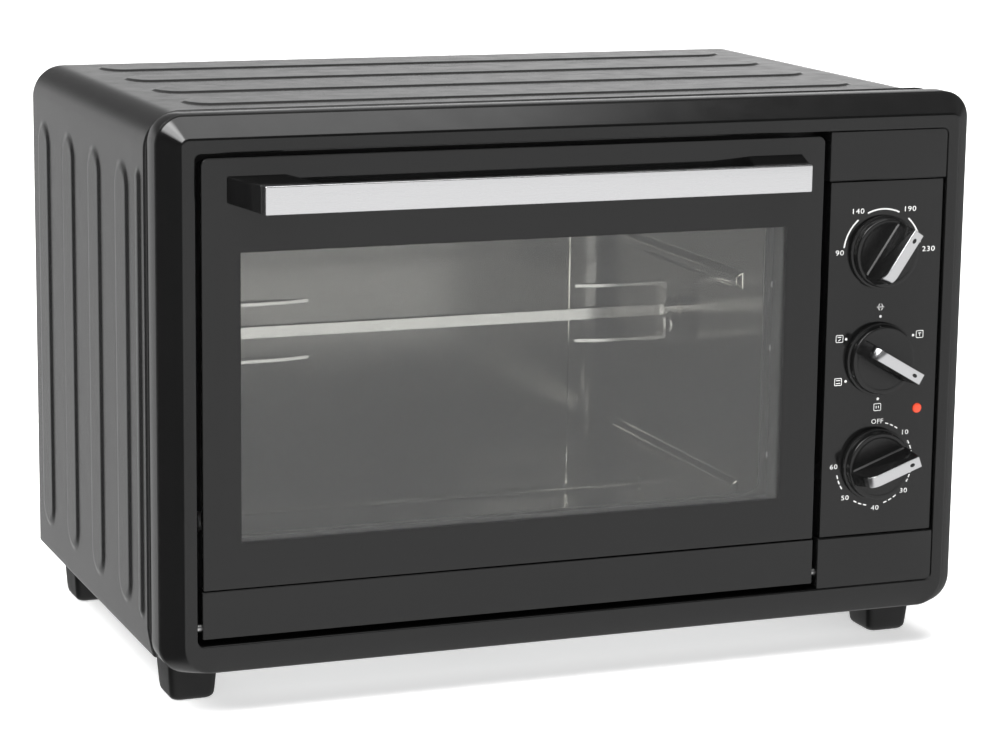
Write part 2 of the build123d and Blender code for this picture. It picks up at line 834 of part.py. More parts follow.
def cut_control_bores(height, length):
    """Bore for the spindle and the two threaded holes in the back of a control."""
    rod_y(bore_radius, knob_x, (panel_back, panel_back + length - 4), height, Mode.SUBTRACT)
    for x in (knob_x - body_screw_offset, knob_x + body_screw_offset):
        rod_y(screw_radius, x, (panel_back, panel_back + 6), height, Mode.SUBTRACT)


with BuildPart() as thermostat:
    slab(
        (knob_x - 19, knob_x + 19),
        (panel_back, panel_back + thermostat_depth),
        (knob_heights["temperature"] - 15, knob_heights["temperature"] + 15),
    )
    cut_control_bores(knob_heights["temperature"], thermostat_depth)
pieces["thermostat"] = thermostat

with BuildPart() as function_switch:
    rod_y(21, knob_x, (panel_back, panel_back + switch_depth), knob_heights["function"])
    cut_control_bores(knob_heights["function"], switch_depth)
pieces["function_switch"] = function_switch

with BuildPart() as timer:
    rod_y(28, knob_x, (panel_back, panel_back + timer_depth), knob_heights["timer"])
    cut_control_bores(knob_heights["timer"], timer_depth)
pieces["timer"] = timer

# The bell of the timer is a small metal cup on the back of its housing.
bell_start = panel_back + timer_depth
with BuildPart() as timer_bell:
    rod_y(24, knob_x, (bell_start, bell_start + 9), knob_heights["timer"])
    rod_y(23, knob_x, (bell_start, bell_start + 8), knob_heights["timer"], Mode.SUBTRACT)
    rod_y(3, knob_x, (bell_start, bell_start + 8.5), knob_heights["timer"])
pieces["timer_bell"] = timer_bell

cord_radius = 3.6
with BuildPart() as cord_gland:
    rod_y(gland_radius, gland_x, (body_depth - 5, body_depth), gland_height)
    rod_y(10, gland_x, (body_depth, body_depth + 3), gland_height)
    rod_y(8, gland_x, (body_depth + 3, body_depth + gland_reach), gland_height)
    rod_y(cord_radius, gland_x, (body_depth - 5, body_depth + gland_reach), gland_height, Mode.SUBTRACT)
pieces["cord_gland"] = cord_gland

terminal_height = 16
with BuildPart() as terminal_block:
    slab((180, 216), (280, 296), (floor_top, floor_top + terminal_height))
    for x in (187, 198, 209):
        rod_y(2, x, (280, 296), floor_top + 7, Mode.SUBTRACT)
        rod_z(2.5, x, 288, (floor_top + 8, floor_top + terminal_height), Mode.SUBTRACT)
pieces["terminal_block"] = terminal_block

# ---------------------------------------------------------------- knobs

knob_back = panel_face - 0.4
skirt_height = 3
crown_radius = 21.5
crown_height = 8
blade_back = -17
blade_front = 20.5
blade_lean = 2
blade_base_half = 4.6
blade_top_half = 3.9
blade_shoulder = 6
strip_half = 3.5
strip_thickness = 1
hub_depth = 14


def knob_plane(name, offset=0):
    """Plane on the back of a knob, with local X along its pointer and its normal to the user."""
    angle = radians(knob_pointers[name])
    plane = Plane(
        origin=(knob_x, at_depth(knob_back), at_height(knob_heights[name])),
        x_dir=(cos(angle), 0, sin(angle)),
        z_dir=(0, -1, 0),
    )
    return plane.offset(offset)


def blade_side(name):
    """Plane through the middle of the grip: local X along the pointer, local Y up from the panel."""
    base = knob_plane(name)
    return Plane(origin=base.origin, x_dir=base.x_dir, z_dir=base.x_dir.cross(base.z_dir))


def knob_body(name):
    """Round knob with a thin flange, a flat face and a tall grip across it."""
    with BuildPart() as knob:
        with BuildSketch(knob_plane(name)):
            Circle(knob_radius)
        extrude(amount=skirt_height)
        with BuildSketch(knob_plane(name)):
            Circle(crown_radius)
        extrude(amount=crown_height)
        chamfer(knob.faces().sort_by(Axis.Y)[0].edges(), 1)
        with BuildSketch(blade_side(name)) as side:
            with BuildLine():
                Polyline(
                    (blade_back, 2),
                    (blade_back, knob_reach),
                    (blade_front - blade_lean, knob_reach),
                    (blade_front, crown_height),
                    (blade_front, 2),
                    close=True,
                )
            make_face()
            fillet(side.vertices().sort_by_distance((blade_back, knob_reach))[0], blade_shoulder)
        extrude(amount=blade_base_half, both=True)
        # The sides of the grip lean inwards.
        for turn in (-1, 1):
            with BuildSketch(blade_end(name)):
                with BuildLine():
                    Polyline(
                        (turn * blade_base_half, crown_height),
                        (turn * blade_top_half, knob_reach),
                        (turn * (blade_base_half + 1), knob_reach),
                        (turn * (blade_base_half + 1), crown_height),
                        close=True,
                    )
                make_face()
            extrude(amount=2 * knob_radius, both=True, mode=Mode.SUBTRACT)
        with BuildSketch(knob_plane(name)):
            Circle(shaft_radius)
        extrude(amount=hub_depth, mode=Mode.SUBTRACT)
    return knob


def blade_end(name):
    """Plane across the grip: local X to its side, local Y up from the panel."""
    base = knob_plane(name)
    return Plane(origin=base.origin, x_dir=base.y_dir, z_dir=base.y_dir.cross(base.z_dir))


def knob_strip(name):
    """Bright strip that follows the top of the grip and bends down over its tail end."""
    bend = blade_shoulder + strip_thickness
    strip_top = knob_reach + strip_thickness
    with BuildPart() as strip:
        with BuildSketch(blade_side(name)):
            with BuildLine():
                start = (blade_front - blade_lean, knob_reach)
                shoulder = (blade_back + blade_shoulder, knob_reach)
                tail = (blade_back, knob_reach - blade_shoulder)
                turn = sin(radians(45))
                centre = (shoulder[0], tail[1])
                Polyline(shoulder, start, (start[0], strip_top), (shoulder[0], strip_top))
                ThreePointArc(
                    (shoulder[0], strip_top),
                    (centre[0] - bend * turn, centre[1] + bend * turn),
                    (blade_back - strip_thickness, tail[1]),
                )
                Line((blade_back - strip_thickness, tail[1]), tail)
                ThreePointArc(
                    tail,
                    (centre[0] - blade_shoulder * turn, centre[1] + blade_shoulder * turn),
                    shoulder,
                )
            make_face()
        extrude(amount=strip_half, both=True)
    return strip


def knob_shaft(name, length):
    """Spindle from inside the knob to inside the control behind the panel."""
    with BuildPart() as shaft:
        with BuildSketch(knob_plane(name, hub_depth)):
            Circle(shaft_radius)
        extrude(amount=-(hub_depth - knob_back + panel_back + length - 5))
    return shaft


for name in knob_heights:
    pieces[f"{name}_knob"] = knob_body(name)
    pieces[f"{name}_knob_strip"] = knob_strip(name)
    pieces[f"{name}_shaft"] = knob_shaft(name, body_spans[name])

# ---------------------------------------------------------------- door

glass_back = door_face + glass_thickness
screw_offset = 160
handle_height = (277 + 292) / 2
handle_screw_radius = 2
with BuildPart() as door_glass:
    with BuildSketch(front_plane(glass_back)):
        front_rectangle((door_left + 0.5, door_right - 0.5), (door_split + 0.5, door_top), 3)
    extrude(amount=glass_thickness)
    for side in (-1, 1):
        x = (door_left + door_right) / 2 + side * screw_offset
        rod_y(handle_screw_radius + 0.5, x, (door_face, glass_back), handle_height, Mode.SUBTRACT)
pieces["door_glass"] = door_glass

# Pressed steel frame around the window, open towards the glass.
frame_bottom = 36
frame_top = 298
window_margin = 3
stay_spans = {
    "left": (frame_left - stay_clearance - stay_thickness, frame_left - stay_clearance),
    "right": (frame_right + stay_clearance, frame_right + stay_clearance + stay_thickness),
}
rivet_radius = 2.5
with BuildPart() as door_frame:
    with BuildSketch(front_plane(door_frame_back)):
        front_rectangle((frame_left, frame_right), (frame_bottom, frame_top), 3)
    extrude(amount=door_frame_back - glass_back)
    with BuildSketch(front_plane(door_frame_back - sheet)):
        front_rectangle(
            (frame_left + sheet, frame_right - sheet), (frame_bottom + sheet, frame_top - sheet), 2
        )
    extrude(amount=door_frame_back - sheet - glass_back, mode=Mode.SUBTRACT)
    with BuildSketch(front_plane(door_frame_back)):
        front_rectangle(
            (window_left - window_margin - sheet, window_right + window_margin + sheet),
            (window_bottom - window_margin - sheet, window_top + window_margin + sheet),
            6,
        )
    extrude(amount=door_frame_back - glass_back)
    with BuildSketch(front_plane(door_frame_back)):
        front_rectangle(
            (window_left - window_margin, window_right + window_margin),
            (window_bottom - window_margin, window_top + window_margin),
            5,
        )
    extrude(amount=door_frame_back - glass_back, mode=Mode.SUBTRACT)
    for x in ((frame_left, frame_left + sheet), (frame_right - sheet, frame_right)):
        rod_x(rivet_radius, x, stay_pivot_depth, stay_pivot_height, Mode.SUBTRACT)
pieces["door_frame"] = door_frame

# Moulded strip along the bottom of the door; its ends carry the hinge pins.
trim_back = 14
trim_wall = 3
pin_boss = 18
with BuildPart() as door_bottom_trim:
    slab((door_left, door_right), (door_face, glass_back), (door_bottom, door_split))
    slab((door_left, door_right), (door_face, trim_back), (door_bottom, door_bottom + trim_wall))
    for x in ((door_left, door_left + pin_boss), (door_right - pin_boss, door_right)):
        slab(x, (door_face, trim_back), (door_bottom, frame_bottom - 1))
    chamfer(door_bottom_trim.faces().sort_by(Axis.Y)[0].edges(), 0.8)
    for x in ((door_left, door_left + pin_boss), (door_right - pin_boss, door_right)):
        rod_x(hinge_pin_radius, x, hinge_depth, hinge_height, Mode.SUBTRACT)
pieces["door_bottom_trim"] = door_bottom_trim

with BuildPart() as hinge_pins:
    rod_x(hinge_pin_radius, (hinge_bore_end + 0.5, door_left + pin_boss), hinge_depth, hinge_height)
    rod_x(hinge_pin_radius, (door_right - pin_boss, panel_left + 11.5), hinge_depth, hinge_height)
pieces["hinge_pins"] = hinge_pins

# Handle: two moulded brackets that lean inwards to the ends of a flat bar.
bar_back = -handle_reach + handle_bar_thickness
handle_middle = (door_left + door_right) / 2
bracket_width = 36
bracket_base_half = 181
bracket_tip_half = 170.5
bracket_heights = (276.5, 292)
with BuildPart() as handle_bar:
    slab(
        (handle_middle - handle_bar_half_length, handle_middle + handle_bar_half_length),
        (-handle_reach, bar_back),
        (handle_bar_bottom, handle_bar_top),
    )
    fillet(handle_bar.edges(), 0.8)
pieces["handle_bar"] = handle_bar

for name, side in (("left", -1), ("right", 1)):
    with BuildPart() as bracket:
        with BuildSketch(front_plane(door_face)):
            front_rectangle(
                sorted(
                    (
                        handle_middle + side * bracket_base_half,
                        handle_middle + side * (bracket_base_half - bracket_width),
                    )
                ),
                bracket_heights,
            )
        with BuildSketch(front_plane(bar_back)):
            front_rectangle(
                sorted(
                    (
                        handle_middle + side * bracket_tip_half,
                        handle_middle + side * (bracket_tip_half - bracket_width),
                    )
                ),
                (handle_bar_bottom, handle_bar_top),
            )
        loft()
        rod_y(
            handle_screw_radius,
            handle_middle + side * screw_offset,
            (-12, door_face),
            handle_height,
            Mode.SUBTRACT,
        )
    pieces[f"handle_bracket_{name}"] = bracket

with BuildPart() as handle_screws:
    for side in (-1, 1):
        x = handle_middle + side * screw_offset
        rod_y(handle_screw_radius, x, (-12, glass_back), handle_height)
        rod_y(2 * handle_screw_radius, x, (glass_back, glass_back + 2.6), handle_height)
pieces["handle_screws"] = handle_screws

# Door stays: flat arms on the door that slide back through slots in the chassis plate.
# With the slot on the pivot's circle about the hinge, an arm turns by half the door's angle.
chord_angle = (stay_closed_angle + stay_slot_angle) / 2 - 90
open_reach = 2 * stay_radius * sin(radians((stay_closed_angle + door_swing - stay_slot_angle) / 2))
# The wide end of the arm meets the back of the chassis plate when the door is fully open.
open_tilt = radians((stay_closed_angle + door_swing + stay_slot_angle) / 2 - 90)
stay_stop_width = 20
stop_gap = 0.2
plate_half = (cavity_front - plate_front) / 2
stop_lean = stay_stop_width / 2 * sin(open_tilt)
stay_stop_start = open_reach + (plate_half + stop_gap + stop_lean) / cos(open_tilt)
stay_length = stay_stop_start + 8
for name, span in stay_spans.items():
    arm_plane = Plane(
        origin=(span[0], at_depth(stay_pivot_depth), at_height(stay_pivot_height)),
        x_dir=(0, cos(radians(chord_angle)), sin(radians(chord_angle))),
        z_dir=(1, 0, 0),
    )
    with BuildPart() as stay:
        with BuildSketch(arm_plane):
            with Locations((stay_length / 2, 0)):
                Rectangle(stay_length, stay_width)
            with Locations(((stay_stop_start + stay_length) / 2, 0)):
                Rectangle(stay_length - stay_stop_start, stay_stop_width)
            Circle(6)
            Circle(rivet_radius + running_clearance, mode=Mode.SUBTRACT)
        extrude(amount=stay_thickness)
    pieces[f"door_stay_{name}"] = stay

with BuildPart() as stay_rivets:
    for x in ((frame_left - 2.2, frame_left + sheet), (frame_right - sheet, frame_right + 2.2)):
        rod_x(rivet_radius, x, stay_pivot_depth, stay_pivot_height)
    for x in ((frame_left - 3.4, frame_left - 2.2), (frame_right + 2.2, frame_right + 3.4)):
        rod_x(4.5, x, stay_pivot_depth, stay_pivot_height)
pieces["stay_rivets"] = stay_rivets

# ---------------------------------------------------------------- shared fasteners

# Pan-head screws that hold the cavity walls, the controls and the motor.
with BuildPart() as machine_screws:
    for x in wall_screw_x:
        for height in wall_screw_heights:
            rod_y(screw_radius, x, (plate_front, cavity_front + 6), height)
            rod_y(2 * screw_radius, x, (plate_front - screw_head, plate_front), height)
    for height in knob_heights.values():
        for x in (knob_x - body_screw_offset, knob_x + body_screw_offset):
            rod_y(screw_radius, x, (panel_face + screw_head, panel_back + 6), height)
            rod_y(2 * screw_radius, x, (panel_face, panel_face + screw_head), height)
    for depth in motor_screw_depths:
        rod_x(screw_radius, (motor_face - 3, motor_front + 1.5), depth, spit_height)
        rod_x(2 * screw_radius, (motor_front + 1.5, motor_front + 1.5 + screw_head), depth, spit_height)
pieces["machine_screws"] = machine_screws

os.makedirs("parts", exist_ok=True)
for label, piece in pieces.items():
    piece.part.label = label
    export_step(piece.part, f"parts/{label}.step")
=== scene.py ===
import json
import math

import bmesh
import bpy
from mathutils import Matrix, Vector


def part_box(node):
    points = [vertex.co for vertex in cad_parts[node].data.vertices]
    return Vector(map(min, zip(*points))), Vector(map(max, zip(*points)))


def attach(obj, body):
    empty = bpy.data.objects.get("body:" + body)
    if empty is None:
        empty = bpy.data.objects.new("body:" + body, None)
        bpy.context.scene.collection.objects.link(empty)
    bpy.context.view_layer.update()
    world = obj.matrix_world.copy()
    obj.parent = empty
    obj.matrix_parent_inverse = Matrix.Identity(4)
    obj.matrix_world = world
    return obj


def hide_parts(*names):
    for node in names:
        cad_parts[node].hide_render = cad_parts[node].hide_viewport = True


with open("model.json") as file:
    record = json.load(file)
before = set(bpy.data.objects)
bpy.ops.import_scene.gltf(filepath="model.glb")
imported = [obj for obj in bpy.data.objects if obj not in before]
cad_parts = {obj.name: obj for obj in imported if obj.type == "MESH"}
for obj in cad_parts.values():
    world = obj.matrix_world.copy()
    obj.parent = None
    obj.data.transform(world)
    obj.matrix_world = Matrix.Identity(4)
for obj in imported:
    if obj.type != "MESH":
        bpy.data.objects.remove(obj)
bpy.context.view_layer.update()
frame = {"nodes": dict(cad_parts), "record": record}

scene = bpy.context.scene
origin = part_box("front_bezel")[0]


def at(x, depth, height):
    """A point from millimetres: x from the middle, depth behind the bezel's front, height above its bottom."""
    return Vector((x / 1000, origin.y + depth / 1000, origin.z + height / 1000))


def span(node):
    """The extent of a CAD node in those millimetres: left, right, front, back, bottom, top."""
    low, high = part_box(node)
    ends = (low.x, high.x, low.y - origin.y, high.y - origin.y, low.z - origin.z, high.z - origin.z)
    return [round(end * 1000, 3) for end in ends]


def centre(node):
    """The middle of a CAD node: x, depth, height."""
    left, right, near, far, bottom, top = span(node)
    return (left + right) / 2, (near + far) / 2, (bottom + top) / 2


# ---------------------------------------------------------------- camera
CAMERA_PLACE = (-0.716645, -1.841168, 0.559318)
CAMERA_AZIMUTH, CAMERA_ELEVATION, CAMERA_ROLL = -21.4113, 11.3992, 0.7509


def camera_axes(azimuth, elevation, roll):
    """The camera's rotation when it stands at an azimuth and elevation and is rolled about its own axis."""
    a, e = math.radians(azimuth), math.radians(elevation)
    back = Vector((math.sin(a) * math.cos(e), -math.cos(a) * math.cos(e), math.sin(e)))
    right = (-back).cross(Vector((0, 0, 1))).normalized()
    upright = Matrix((right, back.cross(right), back)).transposed()
    return Matrix.Rotation(math.radians(roll), 3, back) @ upright


camera_data = bpy.data.cameras.new("camera")
camera_data.sensor_width = 36
camera_data.lens = 112.80
camera_data.clip_start, camera_data.clip_end = 0.05, 100
camera = bpy.data.objects.new("camera", camera_data)
scene.collection.objects.link(camera)
turn = camera_axes(CAMERA_AZIMUTH, CAMERA_ELEVATION, CAMERA_ROLL)
camera.matrix_world = Matrix.Translation(Vector(CAMERA_PLACE)) @ turn.to_4x4()
scene.camera = camera
scene.view_settings.view_transform = "Standard"


# ---------------------------------------------------------------- materials
def principled(name, colour, rough, ior):
    """A new material, its node tree and its Principled node."""
    finish = bpy.data.materials.new(name)
    finish.use_nodes = True
    shader = finish.node_tree.nodes["Principled BSDF"]
    shader.inputs["Base Color"].default_value = (*colour, 1)
    shader.inputs["Roughness"].default_value = rough
    shader.inputs["IOR"].default_value = ior
    return finish, finish.node_tree, shader


def map_range(tree, value, source, target, interpolation="LINEAR"):
    """The output of a node that maps value from the source range to the target range."""
    node = tree.nodes.new("ShaderNodeMapRange")
    node.interpolation_type = interpolation
    node.inputs["From Min"].default_value, node.inputs["From Max"].default_value = source
    node.inputs["To Min"].default_value, node.inputs["To Max"].default_value = target
    tree.links.new(value, node.inputs["Value"])
    return node.outputs["Result"]


def material(name, colour, rough, metallic=0.0, ior=1.5, shade=0.0, shade_scale=20.0, rough_vary=0.0,
             rough_scale=60.0, bump=0.0, bump_scale=800.0, stretch=(1, 1, 1)):
    """A finish whose colour, roughness and surface vary a little with noise."""
    finish, tree, shader = principled(name, colour, rough, ior)
    shader.inputs["Metallic"].default_value = metallic
    coords = tree.nodes.new("ShaderNodeTexCoord")
    mapping = tree.nodes.new("ShaderNodeMapping")
    mapping.inputs["Scale"].default_value = stretch
    tree.links.new(coords.outputs["Object"], mapping.inputs["Vector"])

    def noise(scale):
        node = tree.nodes.new("ShaderNodeTexNoise")
        node.inputs["Scale"].default_value = scale
        node.inputs["Detail"].default_value = 3
        tree.links.new(mapping.outputs[0], node.inputs["Vector"])
        return node.outputs["Fac"]

    if shade:
        mix = tree.nodes.new("ShaderNodeMix")
        mix.data_type = "RGBA"
        mix.inputs["A"].default_value = (*(c * (1 - shade) for c in colour), 1)
        mix.inputs["B"].default_value = (*(min(1, c * (1 + shade)) for c in colour), 1)
        tree.links.new(noise(shade_scale), mix.inputs["Factor"])
        tree.links.new(mix.outputs["Result"], shader.inputs["Base Color"])
    if rough_vary:
        limits = (max(0, rough - rough_vary), min(1, rough + rough_vary))
        varied = map_range(tree, noise(rough_scale), (0.3, 0.7), limits)
        tree.links.new(varied, shader.inputs["Roughness"])
    if bump:
        relief = tree.nodes.new("ShaderNodeBump")
        relief.inputs["Strength"].default_value = 1.0
        relief.inputs["Distance"].default_value = bump
        tree.links.new(noise(bump_scale), relief.inputs["Height"])
        tree.links.new(relief.outputs["Normal"], shader.inputs["Normal"])
    return finish


SLOT_FINISHES = {
    "casing_enamel": dict(colour=(0.010, 0.010, 0.010), rough=0.16, rough_vary=0.03, shade=0.15,
                          bump=3e-6, bump_scale=700),
    "galvanised": dict(colour=(0.5, 0.51, 0.51), rough=0.42, metallic=1, rough_vary=0.08, shade=0.1,
                       shade_scale=60),
    "chassis_enamel": dict(colour=(0.02, 0.02, 0.02), rough=0.4, rough_vary=0.05, shade=0.2, bump=6e-6),
    "moulded_black": dict(colour=(0.004, 0.004, 0.004), rough=0.16, rough_vary=0.03, shade=0.15,
                          bump=2e-6, bump_scale=1500),
    "panel_black": dict(colour=(0.005, 0.005, 0.005), rough=0.1, ior=1.48, rough_vary=0.02, shade=0.15,
                        bump=1e-6, bump_scale=1500),
    "foot_black": dict(colour=(0.005, 0.005, 0.005), rough=0.45, ior=1.36, rough_vary=0.05, shade=0.2,
                       bump=1e-5, bump_scale=900),
    "aluminised_steel": dict(colour=(0.20, 0.195, 0.185), rough=0.19, metallic=1, rough_vary=0.04,
                             shade=0.12, shade_scale=30),
    "printed_glass": dict(colour=(0.004, 0.004, 0.004), rough=0.04, rough_vary=0.01, shade=0.1),
    "handle_metal": dict(colour=(0.80, 0.80, 0.81), rough=0.26, metallic=1, rough_vary=0.03, shade=0.015,
                         stretch=(1, 40, 40)),
    "chrome_trim": dict(colour=(0.70, 0.70, 0.71), rough=0.18, metallic=1, rough_vary=0.03, shade=0.03),
    "spit_chrome": dict(colour=(0.62, 0.61, 0.59), rough=0.14, metallic=1, rough_vary=0.04, shade=0.05),
    "plated_steel": dict(colour=(0.6, 0.6, 0.6), rough=0.3, metallic=1, rough_vary=0.05, shade=0.08),
    "heater_steel": dict(colour=(0.46, 0.45, 0.42), rough=0.2, metallic=1, rough_vary=0.06, shade=0.2),
    "white_ceramic": dict(colour=(0.75, 0.73, 0.68), rough=0.5, rough_vary=0.05, shade=0.05),
    "control_body": dict(colour=(0.12, 0.11, 0.10), rough=0.5, rough_vary=0.05, shade=0.1),
    "lens_orange": dict(colour=(0.70, 0.07, 0.03), rough=0.1, rough_vary=0.02, shade=0.1),
    "lamp_glass": dict(colour=(0.9, 0.5, 0.3), rough=0.1, rough_vary=0.02, shade=0.05),
}
SLOTS = {name: material(name, **settings) for name, settings in SLOT_FINISHES.items()}
satin_black = material("satin_black", (0.006, 0.006, 0.006), 0.24, ior=1.48, rough_vary=0.03, shade=0.15,
                       bump=2e-6, bump_scale=1500)
white_print = material("white_print", (0.66, 0.66, 0.65), 0.5, rough_vary=0.05, shade=0.04)
# a brighter metal used only on the rolled cavity edges: a painted highlight that draws thin bright glints there
painted_highlight_edge = material("painted_highlight_edge", (0.85, 0.84, 0.78), 0.1, metallic=1, rough_vary=0.04, shade=0.1,
                       shade_scale=40)


def window_glass():
    """Slightly grey glass that lets the light of the room into the cavity."""
    finish, tree, shader = principled("window_glass", (0.60, 0.605, 0.595), 0.02, 1.5)
    shader.inputs["Transmission Weight"].default_value = 0.988
    through = tree.nodes.new("ShaderNodeBsdfTransparent")
    through.inputs["Color"].default_value = (0.5, 0.505, 0.495, 1)
    path = tree.nodes.new("ShaderNodeLightPath")
    mix = tree.nodes.new("ShaderNodeMixShader")
    tree.links.new(path.outputs["Is Shadow Ray"], mix.inputs["Fac"])
    tree.links.new(shader.outputs["BSDF"], mix.inputs[1])
    tree.links.new(through.outputs["BSDF"], mix.inputs[2])
    tree.links.new(mix.outputs["Shader"], tree.nodes["Material Output"].inputs["Surface"])
    return finish


clear_glass = window_glass()
for subpart in frame["record"]["subparts"]:
    node = frame["nodes"][subpart["node"]]
    node.data.materials.clear()
    node.data.materials.append(SLOTS[subpart["material_slot"]])


# ---------------------------------------------------------------- rolled edges in the cavity, with a painted highlight
EDGE_WIDTH, WELD_DISTANCE, EDGE_ANGLE = 0.0007, 1e-5, 25


def roll_edges(name):
    """Rounds the bent edges of a sheet-metal node and gives them a brighter metal, a painted highlight that draws
    thin glints along them.
    """
    node = frame["nodes"][name]
    node.data.materials.append(painted_highlight_edge)
    node.modifiers.new("joined faces", "WELD").merge_threshold = WELD_DISTANCE
    bevel = node.modifiers.new("rolled edges", "BEVEL")
    bevel.width, bevel.segments = EDGE_WIDTH, 2
    bevel.limit_method, bevel.angle_limit = "ANGLE", math.radians(EDGE_ANGLE)
    bevel.material = 1


for name in ("cavity_left_wall", "cavity_right_wall", "cavity_roof", "cavity_floor"):
    roll_edges(name)


# ---------------------------------------------------------------- shapes, in millimetres
def front(a, b, c):
    """Outlines drawn as the user sees the front: a across, b up, c the depth."""
    return at(a, c, b)


def quarter_turn(steps):
    """Angles from nothing to a right angle, both included."""
    return [math.pi / 2 * k / steps for k in range(steps + 1)]


def full_turn(count):
    """Angles all the way round, without the last that would repeat the first."""
    return [2 * math.pi * i / count for i in range(count)]


def rectangle(low_a, high_a, low_b, high_b):
    return [(low_a, low_b), (high_a, low_b), (high_a, high_b), (low_a, high_b)]


def ellipse(a, b, half_a, half_b, count):
    return [(a + half_a * math.cos(t), b + half_b * math.sin(t)) for t in full_turn(count)]


def rounded(corners, radii, steps=6):
    """A counterclockwise outline with each corner turned into an arc of steps parts."""
    outline = []
    for i, corner in enumerate(corners):
        radius = radii if isinstance(radii, (int, float)) else radii[i]
        corner = Vector(corner)
        last = (Vector(corners[i - 1]) - corner).normalized()
        following = (Vector(corners[(i + 1) % len(corners)]) - corner).normalized()
        half = last.angle(following) / 2
        middle = corner + (last + following).normalized() * (radius / math.sin(half))
        start = corner + last * (radius / math.tan(half)) - middle
        side = 1 if last.y * following.x - last.x * following.y > 0 else -1
        for k in range(steps + 1):
            turned = Matrix.Rotation(side * (math.pi - 2 * half) * k / steps, 2) @ start
            outline.append(tuple(middle + turned))
    return outline


def inset(outline, distance):
    """A counterclockwise outline drawn inwards."""
    drawn = []
    for i, (a, b) in enumerate(outline):
        before = Vector((a - outline[i - 1][0], b - outline[i - 1][1])).normalized()
        following = outline[(i + 1) % len(outline)]
        after = Vector((following[0] - a, following[1] - b)).normalized()
        inwards = Vector((-before.y - after.y, before.x + after.x)).normalized()
        reach = distance / max(0.4, inwards.dot(Vector((-before.y, before.x))))
        drawn.append((a + inwards.x * reach, b + inwards.y * reach))
    return drawn


def loft(loops, ring=False):
    """Walls through closed loops of points, capped at both ends, or closed into a ring."""
    count = len(loops[0])
    points = [point for loop in loops for point in loop]
    faces = []
    for i in range(len(loops) if ring else len(loops) - 1):
        a, b = i * count, (i + 1) % len(loops) * count
        faces += [(a + k, a + (k + 1) % count, b + (k + 1) % count, b + k) for k in range(count)]
    if not ring:
        faces += [tuple(range(count)), tuple(range(len(points) - count, len(points)))]
    return points, faces


def placed(loops, place=front):
    """The points of (outline, level) loops."""
    return [[place(a, b, c) for a, b in loop] for loop, c in loops]


def prism_loops(outline, low, high, edge, steps=4):
    """Loops (outline, level) of a prism whose two rims are rounded."""
    turns = quarter_turn(steps) if edge else [math.pi / 2]
    rims = [(edge * (1 - math.sin(t)), edge * (1 - math.cos(t))) for t in turns]
    loops = [(inset(outline, shrink), low + rise) for shrink, rise in rims]
    return loops + [(inset(outline, shrink), high - rise) for shrink, rise in reversed(rims)]


def prism(place, outline, low, high, edge=0.0, steps=4):
    return loft(placed(prism_loops(outline, low, high, edge, steps), place))


def lathe(place, profile, count=96):
    """A turned shape from (radius, level) points; place takes (a, b, level)."""
    return loft(placed([(ellipse(0, 0, radius, radius, count), level) for radius, level in profile], place))


def joined(*shapes):
    points, faces = [], []
    for shape_points, shape_faces in shapes:
        start = len(points)
        points += shape_points
        faces += [tuple(start + i for i in face) for face in shape_faces]
    return points, faces


def piece(name, shape, slot, body, *nodes, finishes=None, second=(), sharp=32):
    """A named object that rides on a body and stands for CAD nodes; faces in second take the second finish."""
    points, faces = shape
    mesh = bpy.data.meshes.new(name)
    mesh.from_pydata([tuple(point) for point in points], [], faces)
    for finish in finishes or [SLOTS[slot]]:
        mesh.materials.append(finish)
    for index in second:
        mesh.polygons[index].material_index = 1
    bm = bmesh.new()
    bm.from_mesh(mesh)
    bmesh.ops.recalc_face_normals(bm, faces=bm.faces[:])
    bm.to_mesh(mesh)
    bm.free()
    mesh.shade_smooth()
    mesh.set_sharp_from_angle(angle=math.radians(sharp))
    obj = bpy.data.objects.new(name, mesh)
    scene.collection.objects.link(obj)
    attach(obj, body)
    if nodes:
        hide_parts(*nodes)
    return obj


# ---------------------------------------------------------------- casing
CAD_RIB, SHEET, SHELL_CORNER, FLANGE = 1.5, 1.0, 20.0, 38.0
_, shell_right, SHELL_FRONT, SHELL_BACK, SHELL_BOTTOM, shell_top = span("outer_shell")
SHELL_HALF, SHELL_TOP = shell_right - CAD_RIB, shell_top - CAD_RIB
BOTTOM_BEND = 2.0
BEND_STEPS, CORNER_STEPS, RIM_STEPS = 5, 14, 12

EDGE_ROLL = 1.8
EDGE_ROWS = (0, 0.06, 0.2, 0.45, 0.8, 1.3, 1.8, 2.2)
RIM_WIDTH, RIM_GAP, RIM_FOOT_RADIUS = 12, 0.6, 1

SIDE_RIB_HEIGHT, SIDE_RIB_SLOPE = 1.5, 5.0
TOP_RIB_HEIGHT, TOP_RIB_SLOPE = 0.8, 2.0
BIG_RIBS = [(98.5 + 66 * i, 33.0) for i in range(4)]
SIDE_RIBS = [*BIG_RIBS, (61.0, 14.0)]
SIDE_RIB_SPAN, TOP_RIB_SPAN = (21.0, 291.0), (-220.0, 220.0)
RIB_END, RIB_MARGIN, FLANK_MARGIN = 18.0, 1.0, 1.5
FLANGE_STEP, LOW_STEP, SIDE_STEP, KNEE_STEP, SHOULDER_STEP, TOP_STEP = 12, 8, 14, 4, 3, 20  # along the path
FINE_STEP, STEEP_ROW, FLAT_ROW = 1.2, 0.9, 2.4
ABOVE_BEND, PAST_KNEE, BEHIND_BEAD, BEFORE_EDGE = 2, 3, 0.4, 3  # gaps left between neighbouring rows

BEAD_FRONT, BEAD_WIDTH, BEAD_HEIGHT, BEAD_ROWS = 38.6, 3.6, 2.6, 12
BEAD_FADE_START, BEAD_FADE = 2.0, 14.0


def clamp(value):
    return min(max(value, 0.0), 1.0)


